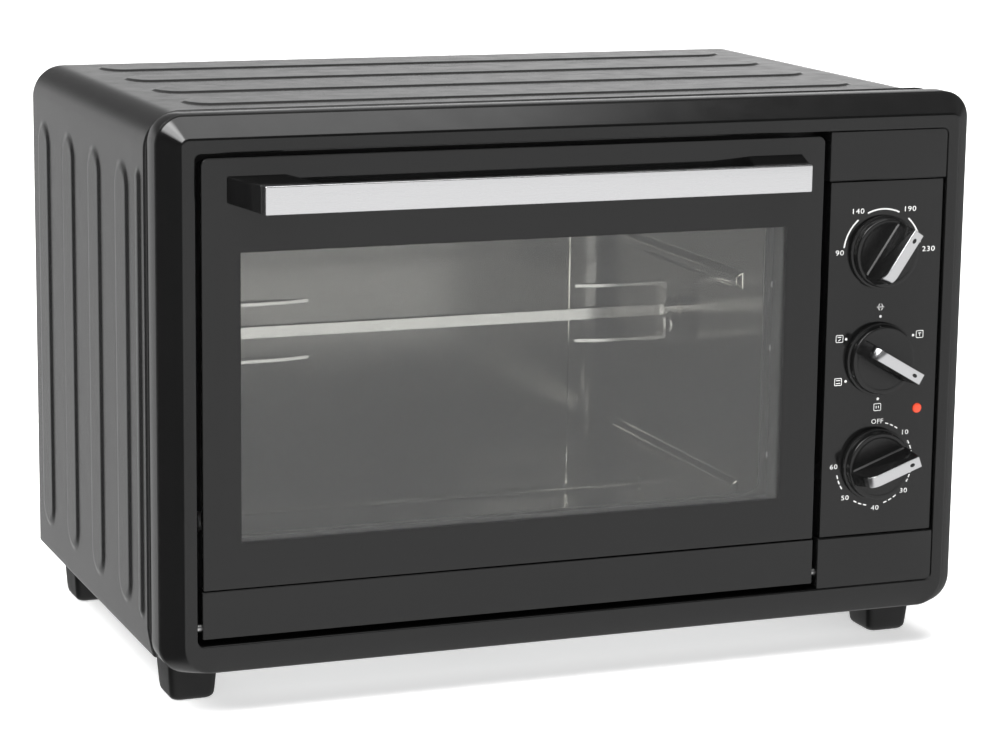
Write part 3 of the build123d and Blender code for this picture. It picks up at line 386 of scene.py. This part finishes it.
def swell(along, depth, ribs, ends, slope, rise):
    """How far the pressed ribs lift the sheet at a point: a soft-edged slot shape."""
    lift = 0.0
    for middle, width in ribs:
        half = width / 2
        nearest = min(max(along, ends[0] + half), ends[1] - half)
        inside = half - math.hypot(along - nearest, depth - middle)
        t = clamp(inside / min(slope, half))
        lift = max(lift, rise * t * t * (3 - 2 * t))
    return lift


def bead(height, depth):
    """How far the rounded bead behind the bezel stands out; it dies away near the bottom."""
    across = (depth - BEAD_FRONT) / BEAD_WIDTH * 2 - 1
    fade = clamp((height - SHELL_BOTTOM - BEAD_FADE_START) / BEAD_FADE)
    return BEAD_HEIGHT * fade * math.sqrt(max(0.0, 1 - across * across))


def spaced(start, end, step):
    """Even steps from start up to end, without end."""
    count = max(1, round(abs(end - start) / step))
    return [start + (end - start) * i / count for i in range(count)]


def shell_path():
    """(x, height, outward x, outward height) along the casing, from the left flange over the top to the right."""
    bend_x, bend_height = -SHELL_HALF + BOTTOM_BEND, SHELL_BOTTOM + BOTTOM_BEND
    path = [(x, SHELL_BOTTOM, 0, -1) for x in spaced(-SHELL_HALF + FLANGE, bend_x, FLANGE_STEP)]
    path += [(bend_x - BOTTOM_BEND * math.sin(t), bend_height - BOTTOM_BEND * math.cos(t), -math.sin(t),
              -math.cos(t)) for t in quarter_turn(BEND_STEPS)]

    low, high = SIDE_RIB_SPAN
    knee_x, knee = -SHELL_HALF + SHELL_CORNER, SHELL_TOP - SHELL_CORNER
    heights = spaced(bend_height + ABOVE_BEND, low - RIB_MARGIN, LOW_STEP)
    heights += spaced(low - RIB_MARGIN, low + RIB_END, FINE_STEP)
    heights += spaced(low + RIB_END, high - RIB_END, SIDE_STEP)
    heights += spaced(high - RIB_END, high + RIB_MARGIN, FINE_STEP)
    heights += spaced(high + RIB_MARGIN, knee, KNEE_STEP)
    path += [(-SHELL_HALF, height, -1, 0) for height in heights]
    path += [(knee_x - SHELL_CORNER * math.cos(t), knee + SHELL_CORNER * math.sin(t), -math.cos(t), math.sin(t))
             for t in quarter_turn(CORNER_STEPS)]

    left = TOP_RIB_SPAN[0]
    across = spaced(knee_x + PAST_KNEE, left - RIB_MARGIN, SHOULDER_STEP)
    across += spaced(left - RIB_MARGIN, left + RIB_END, FINE_STEP)
    across += spaced(left + RIB_END, 0, TOP_STEP)
    path += [(x, SHELL_TOP, 0, 1) for x in across]
    mirrored = [(-x, height, -out_x, out_up) for x, height, out_x, out_up in reversed(path)]
    return path + [(0.0, SHELL_TOP, 0, 1)] + mirrored


def casing_depths():
    """The rows of the casing, closer together at its two edges, on the bead and on the flanks of the ribs."""
    depths = [SHELL_FRONT + step for step in EDGE_ROWS]
    depths += [BEAD_FRONT + BEAD_WIDTH * (1 - math.cos(math.pi * k / BEAD_ROWS)) / 2 for k in range(BEAD_ROWS + 1)]
    flanks = [edge for middle, width in SIDE_RIBS for edge in (middle - width / 2, middle + width / 2)]
    depth = BEAD_FRONT + BEAD_WIDTH + BEHIND_BEAD
    while depth < SHELL_BACK - BEFORE_EDGE:
        depths.append(depth)
        steep = any(abs(depth - flank) < SIDE_RIB_SLOPE + FLANK_MARGIN for flank in flanks)
        depth += STEEP_ROW if steep else FLAT_ROW
    return depths + [SHELL_BACK - step for step in reversed(EDGE_ROWS)]


def casing():
    """The folded sheet with its ribs and its bead, rolled over at the front and back edges."""
    depths, path = casing_depths(), shell_path()
    outer, inner = [], []
    for depth in depths:
        edge = min(depth - SHELL_FRONT, SHELL_BACK - depth)
        tuck = EDGE_ROLL - math.sqrt(max(0.0, EDGE_ROLL ** 2 - (EDGE_ROLL - min(edge, EDGE_ROLL)) ** 2))
        for x, height, out_x, out_up in path:
            lift = bead(height, depth)
            if out_x in (-1, 1):
                lift += swell(height, depth, SIDE_RIBS, SIDE_RIB_SPAN, SIDE_RIB_SLOPE, SIDE_RIB_HEIGHT)
            elif out_up == 1:
                lift += swell(x, depth, BIG_RIBS, TOP_RIB_SPAN, TOP_RIB_SLOPE, TOP_RIB_HEIGHT)
            outer.append(at(x + out_x * (lift - tuck), depth, height + out_up * (lift - tuck)))
            inner.append(at(x + out_x * (lift - SHEET), depth, height + out_up * (lift - SHEET)))
    across, rows = len(path), len(depths)
    under = rows * across
    faces = []
    for r in range(rows - 1):
        for c in range(across - 1):
            a = r * across + c
            b = a + under
            faces.append((a, a + 1, a + across + 1, a + across))
            faces.append((b, b + across, b + across + 1, b + 1))
    for r in range(rows - 1):
        for a in (r * across, r * across + across - 1):
            faces.append((a, a + across, a + across + under, a + under))
    for c in range(across - 1):
        for a in (c, (rows - 1) * across + c):
            faces.append((a, a + 1, a + 1 + under, a + under))
    return outer + inner, faces


def rear_rim():
    """The back edge of the casing, turned inwards to carry the back cover."""
    outline = rounded(rectangle(-SHELL_HALF, SHELL_HALF, SHELL_BOTTOM, SHELL_TOP),
                      [RIM_FOOT_RADIUS, RIM_FOOT_RADIUS, SHELL_CORNER, SHELL_CORNER], RIM_STEPS)
    section = ((RIM_GAP, SHELL_BACK), (RIM_GAP, SHELL_BACK - SHEET), (RIM_WIDTH, SHELL_BACK - SHEET),
               (RIM_WIDTH, SHELL_BACK))
    return loft(placed([(inset(outline, shrink), depth) for shrink, depth in section]), ring=True)


piece("casing_shell", joined(casing(), rear_rim()), "casing_enamel", "housing", "outer_shell", sharp=40)


# ---------------------------------------------------------------- bezel
_, BEZEL_HALF, _, BEZEL_DEPTH, _, BEZEL_TOP = span("front_bezel")
BEZEL_CORNER, BEZEL_BEVEL, BEZEL_WALL = 17.0, 12.5, 3.0
NECK_DEPTH, NECK_INSET = 33.5, 1.5
SEAM_DEPTH, SEAM_INSET = 29.7, 2.8
STEP_DEPTH, STEP_INSET = 13.0, 0.6
FACE_REACH = 19.2
REAR_RADIUS, STEP_RADIUS, STEP_FOOT_RADIUS, BEVEL_RADIUS, FACE_RADIUS = 1.6, 0.3, 0.08, 1.9, 3.0
BOTTOM_ROUND = 2.4
HOLLOW_DEPTH = BEZEL_BEVEL + 2
OPENING = (-240.0, 240.0, 18.0, 305.0)
OPENING_CORNER, OPENING_ROUND, OPENING_DEPTH = 4, 0.9, 29
SHARPEST = 0.5


def bezel_ring(shrink, bottom):
    """The bezel's outline drawn in at the sides and the top; the bottom is only moved up."""
    ring = []
    for x, height in rounded(rectangle(-BEZEL_HALF, BEZEL_HALF, 0, BEZEL_TOP), BEZEL_CORNER, CORNER_STEPS):
        centre_x = math.copysign(BEZEL_HALF - BEZEL_CORNER, x)
        centre_height = BEZEL_TOP - BEZEL_CORNER
        if height >= centre_height:
            part = max(BEZEL_CORNER - shrink, SHARPEST) / BEZEL_CORNER
            x, height = centre_x + (x - centre_x) * part, centre_height + (height - centre_height) * part
            drop = min(0, BEZEL_CORNER - shrink - SHARPEST)
            x, height = x + math.copysign(drop, x), height + drop
        else:
            x, height = x - math.copysign(shrink, x), height + bottom
        limit = BEZEL_HALF - shrink
        ring.append((min(max(x, -limit), limit), max(height, bottom)))
    return ring


def opening_ring(grow):
    low_x, high_x, low_h, high_h = OPENING
    corners = rectangle(low_x - grow, high_x + grow, low_h - grow, high_h + grow)
    return rounded(corners, OPENING_CORNER + grow, CORNER_STEPS)


def arc_between(start, corner, end, radius, steps):
    """Points that round one corner of an open path."""
    arc = rounded([start, corner, end], [0.001, radius, 0.001], steps)
    return arc[steps + 1:2 * steps + 2]


def bezel():
    """The bezel from its back to the front, through the opening and round the hollow behind the face."""
    neck, rear, step_edge = (SEAM_DEPTH, SEAM_INSET), (SEAM_DEPTH, 0), (STEP_DEPTH, 0)
    step, bevel_rear = (STEP_DEPTH, STEP_INSET), (BEZEL_BEVEL - STEP_INSET, STEP_INSET)
    bevel_front = (0, BEZEL_BEVEL)
    section = [(BEZEL_DEPTH, SEAM_INSET), (SEAM_DEPTH + 0.1, SEAM_INSET)]
    section += arc_between(neck, rear, (BEZEL_BEVEL, 0), REAR_RADIUS, 6)
    section += arc_between(rear, step_edge, step, STEP_RADIUS, 4)
    section += arc_between(step_edge, step, bevel_rear, STEP_FOOT_RADIUS, 3)
    section += arc_between(step, bevel_rear, bevel_front, BEVEL_RADIUS, 6)
    section += arc_between((BEZEL_BEVEL, 0), bevel_front, (0, FACE_REACH), FACE_RADIUS, 8)
    loops = []
    for depth, shrink in section:
        bottom = max(0, BOTTOM_ROUND - depth) if depth < NECK_DEPTH else min(shrink, NECK_INSET)
        loops.append((bezel_ring(shrink, bottom), depth))
    for t in quarter_turn(4):
        loops.append((opening_ring(OPENING_ROUND * (1 - math.sin(t))), OPENING_ROUND * (1 - math.cos(t))))
    hollow = bezel_ring(NECK_INSET + BEZEL_WALL, NECK_INSET + BEZEL_WALL)
    loops += [(opening_ring(0), OPENING_DEPTH), (opening_ring(BEZEL_WALL), OPENING_DEPTH),
              (opening_ring(BEZEL_WALL), HOLLOW_DEPTH), (hollow, HOLLOW_DEPTH), (hollow, BEZEL_DEPTH)]
    return loft(placed(loops), ring=True)


piece("bezel", bezel(), "moulded_black", "housing", "front_bezel", sharp=30)


# ---------------------------------------------------------------- feet
FOOT_LEVELS = ((3, 31, 34), (-4, 30.3, 33.2), (-12, 29.2, 31.8), (-19, 28.1, 30.6), (-22.6, 27.2, 29.8),
               (-24.2, 26.2, 28.6), (-25.3, 24.2, 26.6), (-25.8, 22.6, 24.8), (-26, 21, 23))  # height, width, length
FOOT_CORNER = 4.5
for name in ("front_left", "front_right", "rear_left", "rear_right"):
    x, depth, _ = centre(f"foot_{name}")
    loops = []
    for height, width, length in FOOT_LEVELS:
        corners = rectangle(x - width / 2, x + width / 2, depth - length / 2, depth + length / 2)
        loops.append((rounded(corners, FOOT_CORNER, 8), height))
    piece(f"rubber_foot_{name}", loft(placed(loops, at)), "foot_black", "housing", f"foot_{name}", sharp=45)


# ---------------------------------------------------------------- door
SEAM_SHIFT = 0.2
glass_left, glass_right, DOOR_FACE, GLASS_BACK, glass_bottom, glass_top = span("door_glass")
GLASS = (glass_left, glass_right, glass_bottom, glass_top)
WINDOW = (-213.5, 131.5, 78.0, 248.0)
GLASS_RADII, GLASS_EDGE, WINDOW_RADIUS = [0.8, 0.8, 4.5, 4.5], 0.5, 0.3
TRIM_RADII, TRIM_EDGE = [0.8, 0.8, 0.5, 0.5], 0.5


def glass_slab():
    """The sheet of glass, with the clear window as the two caps of the loft."""
    outline = rounded(rectangle(*GLASS), GLASS_RADII)
    window = rounded(rectangle(*WINDOW), WINDOW_RADIUS)
    loops = prism_loops(outline, DOOR_FACE, GLASS_BACK, GLASS_EDGE)
    return loft(placed([(window, DOOR_FACE), *loops, (window, GLASS_BACK)]))


slab = glass_slab()
caps = [len(slab[1]) - 2, len(slab[1]) - 1]
piece("glass_pane", slab, "printed_glass", "door", "door_glass",
      finishes=[SLOTS["printed_glass"], clear_glass], second=caps)
trim_left, trim_right, _, trim_back, trim_bottom, trim_top = span("door_bottom_trim")
trim_outline = rounded(rectangle(trim_left, trim_right, trim_bottom, trim_top - SEAM_SHIFT), TRIM_RADII, 4)
trim = prism(front, trim_outline, DOOR_FACE, trim_back - TRIM_EDGE, TRIM_EDGE)
piece("bottom_trim", trim, "panel_black", "door", "door_bottom_trim")

bar_left, bar_right, BAR_FRONT, BAR_BACK, bar_bottom, bar_top = span("handle_bar")
HANDLE_MIDDLE, BAR_HEIGHTS, BRACKET_HEIGHTS = (bar_left + bar_right) / 2, (bar_bottom, bar_top), (276.5, 292.0)
BAR_CORNER, BAR_EDGE = 0.9, 0.7
BRACKET_BASE, BRACKET_TIP, BRACKET_WIDTH, BRACKET_CORNER = 181, 170.5, 36, 1.2
BRACKET_PARTS = ((0, 0), (0.35, 0), (0.7, 0), (0.98, 0), (0.995, 0.25), (1, 0.7))  # part of the way, drawn in
bar_outline = rounded(rectangle(bar_left, bar_right, *BAR_HEIGHTS), BAR_CORNER, 5)
piece("grip_bar", prism(front, bar_outline, BAR_FRONT, BAR_BACK, BAR_EDGE), "handle_metal", "door", "handle_bar")
for name, side in (("left", -1), ("right", 1)):
    loops = []
    for part, shrink in BRACKET_PARTS:
        outer_x = HANDLE_MIDDLE + side * (BRACKET_BASE + (BRACKET_TIP - BRACKET_BASE) * part)
        inner_x = outer_x - side * BRACKET_WIDTH
        heights = [base + (tip - base) * part for base, tip in zip(BRACKET_HEIGHTS, BAR_HEIGHTS)]
        corners = rectangle(min(outer_x, inner_x), max(outer_x, inner_x), *heights)
        depth = DOOR_FACE + (BAR_BACK - DOOR_FACE) * part
        loops.append((inset(rounded(corners, BRACKET_CORNER, 5), shrink), depth))
    piece(f"grip_bracket_{name}", loft(placed(loops)), "panel_black", "door", f"handle_bracket_{name}")


# ---------------------------------------------------------------- control panel
BLOCK_EDGE = 0.7
for name, node, low_shift, high_shift, radii in (
        ("panel_head", "panel_top_block", SEAM_SHIFT, 0, [0.5, 0.5, 3.5, 1]),
        ("panel_base", "panel_bottom_block", 0, -SEAM_SHIFT, [1, 3.5, 0.5, 0.5])):
    left, right, near, far, bottom, top = span(node)
    outline = rounded(rectangle(left, right, bottom + low_shift, top + high_shift), radii)
    piece(name, prism(front, outline, near, far, BLOCK_EDGE), "panel_black", "housing", node)

PLATE_THICKNESS, PLATE_CORNER, PLATE_EDGE = 2.5, 0.5, 0.4
RETURN_WIDTH, RETURN_CORNER, RETURN_LAP = 2.5, 0.4, 1
plate_left, plate_right, PANEL_FACE, plate_back, plate_bottom, plate_top = span("control_panel")
plate_back_face = PANEL_FACE + PLATE_THICKNESS
plate_corners = rectangle(plate_left, plate_right, plate_bottom - SEAM_SHIFT, plate_top + SEAM_SHIFT)
plate = prism(front, rounded(plate_corners, PLATE_CORNER, 4), PANEL_FACE, plate_back_face, PLATE_EDGE)
returns = []
for left in (plate_left, plate_right - RETURN_WIDTH):
    outline = rounded(rectangle(left, left + RETURN_WIDTH, plate_bottom, plate_top), RETURN_CORNER, 4)
    returns.append(prism(front, outline, plate_back_face - RETURN_LAP, plate_back))
piece("panel_plate", joined(plate, *returns), "panel_black", "housing", "control_panel")

LENS_PROFILE = ((0.01, 4.2), (2.5, 4.2), (2.5, 0), (3.1, 0), (3.12, -0.3), (2.95, -0.65), (2.5, -0.95),
                (1.8, -1.13), (0.9, -1.2), (0.01, -1.2))
lens_x, _, lens_height = centre("indicator_lens")
lens = lathe(lambda a, b, c: front(lens_x + a, lens_height + b, PANEL_FACE + c), LENS_PROFILE, 40)
piece("pilot_lens", lens, "lens_orange", "housing", "indicator_lens", sharp=50)


# ---------------------------------------------------------------- knobs
KNOB_X, KNOB_BACK = centre("temperature_knob")[0], span("temperature_knob")[3]
KNOB_HEIGHTS = {name: centre(f"{name}_knob")[2] for name in ("temperature", "function", "timer")}
POINTERS = {"temperature": 56, "function": -30, "timer": 20}
KNOB_PROFILE = ((0.01, 0), (22.7, 0), (23, 0.3), (23, 2.4), (22.85, 2.85), (22.5, 3), (21.9, 3), (21.65, 3.15),
                (21.55, 3.5), (21.5, 6.8), (21.35, 7.4), (21.0, 7.8), (20.4, 8), (18.6, 8), (18.2, 7.85),
                (17.8, 7.8), (0.01, 7.8))
GRIP_TOP, GRIP_BASE, GRIP_FRONT, GRIP_BACK, GRIP_SHOULDER = 26.4, 7.4, 18.5, -17.0, 6.0
GRIP_HALF, GRIP_LEAN, GRIP_ENDS, GRIP_TAIL = 4.6, 0.7, (-20.6, 20.5), (-17.4, 18)
GRIP_RADII = [0.3, 0.3, 0.5, GRIP_SHOULDER, 3.0]
GRIP_SECTION = ((0.6, 1.0), (0.18, 0.96), (0, 0.85))  # drawn in, part of the half width
FOOT_WEDGE = [(4.3, 7.6), (5.5, 7.75), (5.2, 8.05), (4.65, 8.7), (4.3, 9)]
FOOT_HALF = 18.4
STRIP_TOP, STRIP_HALF, STRIP_EDGE = 27.4, 3.5, 0.3
MARK_AT, MARK_HALF_LENGTH, MARK_HALF_WIDTH, MARK_SINK, MARK_RISE = 12.5, 1.7, 1.15, 0.2, 0.05


def knob_place(height, pointer):
    """Knob coordinates: a along the pointer, b across it, c up from the back of the knob."""
    angle = math.radians(pointer)

    def place(a, b, c):
        x = KNOB_X + a * math.cos(angle) - b * math.sin(angle)
        return at(x, KNOB_BACK - c, height + a * math.sin(angle) + b * math.cos(angle))
    return place


def grip(place):
    """The tall grip across a knob, with leaning sides and a rounded shoulder at its tail."""
    corners = [(GRIP_ENDS[0], GRIP_BASE), (GRIP_ENDS[1], GRIP_BASE), (GRIP_FRONT, GRIP_TOP), (GRIP_BACK, GRIP_TOP),
               GRIP_TAIL]
    side = rounded(corners, GRIP_RADII, 8)
    loops = [(inset(side, shrink), -across) for shrink, across in GRIP_SECTION]
    loops += [(inset(side, shrink), across) for shrink, across in reversed(GRIP_SECTION)]

    def leaning(a, c, across):
        half = GRIP_HALF - GRIP_LEAN * (c - GRIP_BASE) / (GRIP_TOP - GRIP_BASE)
        return place(a, across * half, c)
    return loft(placed(loops, leaning))


def strip(place):
    """The bright strip on top of a grip, bent down over its tail."""
    centre_a, centre_c = GRIP_BACK + GRIP_SHOULDER, GRIP_TOP - GRIP_SHOULDER

    def bend(radius):
        return [(centre_a - radius * math.sin(t), centre_c + radius * math.cos(t)) for t in quarter_turn(10)]
    side = [(GRIP_FRONT, GRIP_TOP), (GRIP_FRONT, STRIP_TOP - STRIP_EDGE), (GRIP_FRONT - STRIP_EDGE, STRIP_TOP),
            *bend(GRIP_SHOULDER + STRIP_TOP - GRIP_TOP), *reversed(bend(GRIP_SHOULDER))]
    return prism(lambda a, c, b: place(a, b, c), side, -STRIP_HALF, STRIP_HALF, STRIP_EDGE, 3)


def grip_foot(place):
    """Small sloping fillets where the sides of the grip meet the face of the knob."""
    wedges = [(1, FOOT_WEDGE), (-1, FOOT_WEDGE[::-1])]
    return joined(*(prism(lambda b, c, a, side=side: place(a, side * b, c), outline, -FOOT_HALF, FOOT_HALF)
                    for side, outline in wedges))


for name, pointer in POINTERS.items():
    place = knob_place(KNOB_HEIGHTS[name], pointer)
    body = f"{name}_dial"
    knob = joined(lathe(place, KNOB_PROFILE), grip(place), grip_foot(place))
    piece(f"{name}_grip_knob", knob, "panel_black", body, f"{name}_knob", finishes=[satin_black], sharp=38)
    piece(f"{name}_bright_strip", strip(place), "chrome_trim", body, f"{name}_knob_strip", sharp=38)
    mark = ellipse(MARK_AT, 0, MARK_HALF_LENGTH, MARK_HALF_WIDTH, 24)
    piece(f"{name}_pointer_mark", prism(place, mark, STRIP_TOP - MARK_SINK, STRIP_TOP + MARK_RISE), "panel_black",
          body)


# ---------------------------------------------------------------- printed scales
INK_FACE, INK_BACK, INK_MIDDLE, INK_HALF = PANEL_FACE - 0.06, PANEL_FACE + 0.05, PANEL_FACE - 0.005, 0.055
TEXT_SIZE, TEXT_STRETCH, TEXT_SPACING, TEXT_WEIGHT = 4.5, 1.27, 1.1, 0.002
TIMER_TEXT_SIZE, OFF_STRETCH = 4.2, 1.08
STROKE, FRAME_STROKE, SYMBOL_STROKE = 0.45, 0.42, 0.42
ARC_RADIUS, ARC_WIDTH, DASH_RADIUS, DASH_WIDTH, DASH_COUNT = 26.6, 0.95, 26.5, 0.78, 3
DASH_START, DASH_END, DASH_MARGIN = 0.6, 1.25, 0.9  # in pitches
FRAME_HALF_WIDTH, FRAME_HALF_HEIGHT, FRAME_CORNER = 2.6, 2.4, 0.8
TIMER_TEXT_RADIUS = 28.3

TEMPERATURE_TEXT = (("90", 168.3, 230.0), ("140", 180.3, 255.3), ("190", 216.2, 255.5), ("230", 229.8, 230.0))
TEMPERATURE_ARCS = ((172.5, 130), (114, 65.5), (49, 10))
FRAMES = (  # the oven symbols: x, height and the strokes in them as (across, up, length, angle)
    (226.0, 176.3, ((0, 0.7, 2.2, 0), (0, -0.4, 1.6, 90))),
    (198.2, 131.6, ((-0.8, 0, 1.6, 90), (0.8, 0, 1.6, 90))),
    (170.2, 149.2, ((0, 0.9, 3.0, 0), (0, -0.9, 3.0, 0))),
    (170.2, 176.3, ((0, 1.0, 2.6, 0), (0, -0.7, 2.0, 35))),
)
FUNCTION_DOTS = ((198.1, 188.9), (221.4, 175.9), (198.3, 136.8), (175.4, 149.3), (174.8, 175.9), (221.0, 148.9))
DOT_RADIUS = 0.85
SPIT_SYMBOL = (197.9, 194.9)
SPIT_STROKES = ((0, 0, 5.0, 0), (-1.0, 1.35, 1.6, 62), (1.0, 1.35, 1.6, -62), (-1.0, -1.35, 1.6, -62),
                (1.0, -1.35, 1.6, 62))
OFF_PLACE = (198.5, 122.6)
TIMER_MINUTES = {10: 42, 20: -2, 30: -41, 40: -87, 50: -134, 60: -180}
TIMER_DASHES = ((80, 50), (35, 5), (-8, -34), (-48, -79), (-95, -126), (-142, -173))


def stamp(outline):
    return prism(front, outline, INK_FACE, INK_BACK)


def lettering(text, x, height, size=TEXT_SIZE, stretch=TEXT_STRETCH):
    """Printed characters, centred on a point of the panel."""
    curve = bpy.data.curves.new("lettering", "FONT")
    curve.body, curve.size, curve.space_character = text, size, TEXT_SPACING
    curve.offset, curve.extrude, curve.resolution_u = TEXT_WEIGHT * size, INK_HALF, 3
    obj = bpy.data.objects.new("lettering", curve)
    scene.collection.objects.link(obj)
    bpy.context.view_layer.update()
    mesh = bpy.data.meshes.new_from_object(obj.evaluated_get(bpy.context.evaluated_depsgraph_get()))
    points = [v.co.copy() for v in mesh.vertices]
    faces = [tuple(p.vertices) for p in mesh.polygons]
    bpy.data.objects.remove(obj)
    bpy.data.meshes.remove(mesh)
    middle = [(min(p[i] for p in points) + max(p[i] for p in points)) / 2 for i in (0, 1)]
    return [front(x + (p.x - middle[0]) * stretch, height + p.y - middle[1], INK_MIDDLE - p.z)
            for p in points], faces


def band(height, radius, start, end, width, steps=12):
    """A printed arc around a knob, between two angles in degrees."""
    angles = [math.radians(start + (end - start) * k / steps) for k in range(steps + 1)]

    def arc(reach):
        return [(KNOB_X + reach * math.cos(t), height + reach * math.sin(t)) for t in angles]
    near, far = arc(radius - width / 2), arc(radius + width / 2)
    return stamp(near[::-1] + far if start < end else near + far[::-1])


def dashes(height, start, end):
    """A row of short printed arcs between two angles, with a gap before the first."""
    pitch = (end - start) / (DASH_COUNT + DASH_MARGIN)
    return [band(height, DASH_RADIUS, start + pitch * (i + DASH_START), start + pitch * (i + DASH_END), DASH_WIDTH, 3)
            for i in range(DASH_COUNT)]


def line(x, height, length, angle, width=STROKE):
    c, s = math.cos(math.radians(angle)), math.sin(math.radians(angle))
    corners = rectangle(-length / 2, length / 2, -width / 2, width / 2)
    return stamp([(x + a * c - b * s, height + a * s + b * c) for a, b in corners])


def frame_icon(x, height, strokes):
    """A small oven symbol: a rounded square outline with a few strokes in it."""
    corners = rectangle(x - FRAME_HALF_WIDTH, x + FRAME_HALF_WIDTH, height - FRAME_HALF_HEIGHT,
                        height + FRAME_HALF_HEIGHT)
    outer = rounded(corners, FRAME_CORNER, 4)
    inner = inset(outer, FRAME_STROKE)
    section = ((outer, INK_BACK), (outer, INK_FACE), (inner, INK_FACE), (inner, INK_BACK))
    lines = [line(x + a, height + b, length, angle) for a, b, length, angle in strokes]
    return joined(loft(placed(section), ring=True), *lines)


def printed(name, shapes):
    piece(name, joined(*shapes), "white_ceramic", "housing", finishes=[white_print])


temperature_marks = [lettering(*text) for text in TEMPERATURE_TEXT]
temperature_marks += [band(KNOB_HEIGHTS["temperature"], ARC_RADIUS, start, end, ARC_WIDTH)
                      for start, end in TEMPERATURE_ARCS]
printed("temperature_scale", temperature_marks)

function_marks = [frame_icon(*icon) for icon in FRAMES]
function_marks += [stamp(ellipse(x, height, DOT_RADIUS, DOT_RADIUS, 16)) for x, height in FUNCTION_DOTS]
function_marks += [line(SPIT_SYMBOL[0] + a, SPIT_SYMBOL[1] + b, length, angle, SYMBOL_STROKE)
                   for a, b, length, angle in SPIT_STROKES]
printed("function_symbols", function_marks)

timer_marks = [lettering("OFF", *OFF_PLACE, TIMER_TEXT_SIZE, OFF_STRETCH)]
timer_height = KNOB_HEIGHTS["timer"]
for minutes, angle in TIMER_MINUTES.items():
    t = math.radians(angle)
    x, height = KNOB_X + TIMER_TEXT_RADIUS * math.cos(t), timer_height + TIMER_TEXT_RADIUS * math.sin(t)
    timer_marks.append(lettering(str(minutes), x, height, TIMER_TEXT_SIZE))
for start, end in TIMER_DASHES:
    timer_marks += dashes(timer_height, start, end)
printed("timer_scale", timer_marks)


# ---------------------------------------------------------------- studio
def studio_world():
    """A plain room of soft light, set by direction: bright low down, dimmer above, with two soft boxes."""
    world = bpy.data.worlds.new("studio")
    scene.world = world
    world.use_nodes = True
    tree = world.node_tree
    coords = tree.nodes.new("ShaderNodeTexCoord")

    def lobe(axis, dark_at, bright_at, low, high):
        """low to high as the direction turns toward axis; dark_at and bright_at are cosines."""
        dot = tree.nodes.new("ShaderNodeVectorMath")
        dot.operation = "DOT_PRODUCT"
        tree.links.new(coords.outputs["Generated"], dot.inputs[0])
        dot.inputs[1].default_value = Vector(axis).normalized()
        return map_range(tree, dot.outputs["Value"], (dark_at, bright_at), (low, high), "SMOOTHSTEP")

    def combine(operation, a, b):
        node = tree.nodes.new("ShaderNodeMath")
        node.operation = operation
        tree.links.new(a, node.inputs[0])
        tree.links.new(b, node.inputs[1])
        return node.outputs[0]

    room = lobe((0, 0, 1), 0.04, 0.25, 0.92, 0.20)
    side = lobe((-1, 0, -0.1), 0.45, 0.80, 1.0, 0.10)
    overhead_box = lobe((-0.1, -0.1, 1), 0.855, 0.90, 0.0, 2.4)
    left_box = lobe((-0.55, -0.24, 0.75), 0.93, 0.985, 0.0, 9.0)
    back = lobe((-0.25, 0.95, -0.15), 0.70, 0.95, 1.0, 0.66)
    right = lobe((0.85, 0.50, -0.2), 0.80, 0.95, 1.0, 0.25)
    ahead = lobe((0.36, -0.68, 0.64), 0.87, 0.93, 1.0, 0.12)
    walls = combine("MULTIPLY", combine("MULTIPLY", room, side), combine("MULTIPLY", back, right))
    light = combine("ADD", combine("MULTIPLY", walls, ahead), combine("ADD", overhead_box, left_box))
    tree.links.new(light, tree.nodes["Background"].inputs["Color"])


def area_light(name, place, target, size, power):
    """A square lamp that lights the oven without being seen in its gloss."""
    data = bpy.data.lights.new(name, "AREA")
    data.shape, data.size, data.energy = "SQUARE", size, power
    light = bpy.data.objects.new(name, data)
    scene.collection.objects.link(light)
    light.location = place
    light.rotation_euler = (Vector(target) - Vector(place)).to_track_quat("-Z", "Y").to_euler()
    light.visible_glossy = False


def studio_floor(reach, glow):
    """A pale floor that glows a little, so that it ends as white as the background."""
    bm = bmesh.new()
    bmesh.ops.create_grid(bm, x_segments=8, y_segments=8, size=reach)
    mesh = bpy.data.meshes.new("floor")
    bm.to_mesh(mesh)
    bm.free()
    finish = material("floor", (0.88, 0.88, 0.88), 0.7, shade=0.01, shade_scale=3)
    shader = finish.node_tree.nodes["Principled BSDF"]
    shader.inputs["Emission Color"].default_value = (1, 1, 1, 1)
    shader.inputs["Emission Strength"].default_value = glow
    mesh.materials.append(finish)
    floor = bpy.data.objects.new("floor", mesh)
    scene.collection.objects.link(floor)
    floor.visible_glossy = False
    return floor


studio_world()
area_light("overhead", place=(-0.3, -0.3, 3.0), target=(0, 0, 0), size=2.6, power=95)
area_light("front", place=(-0.6, -2.6, 0.9), target=(0, 0, 0.2), size=1.2, power=30)
floor = studio_floor(reach=12, glow=0.5)
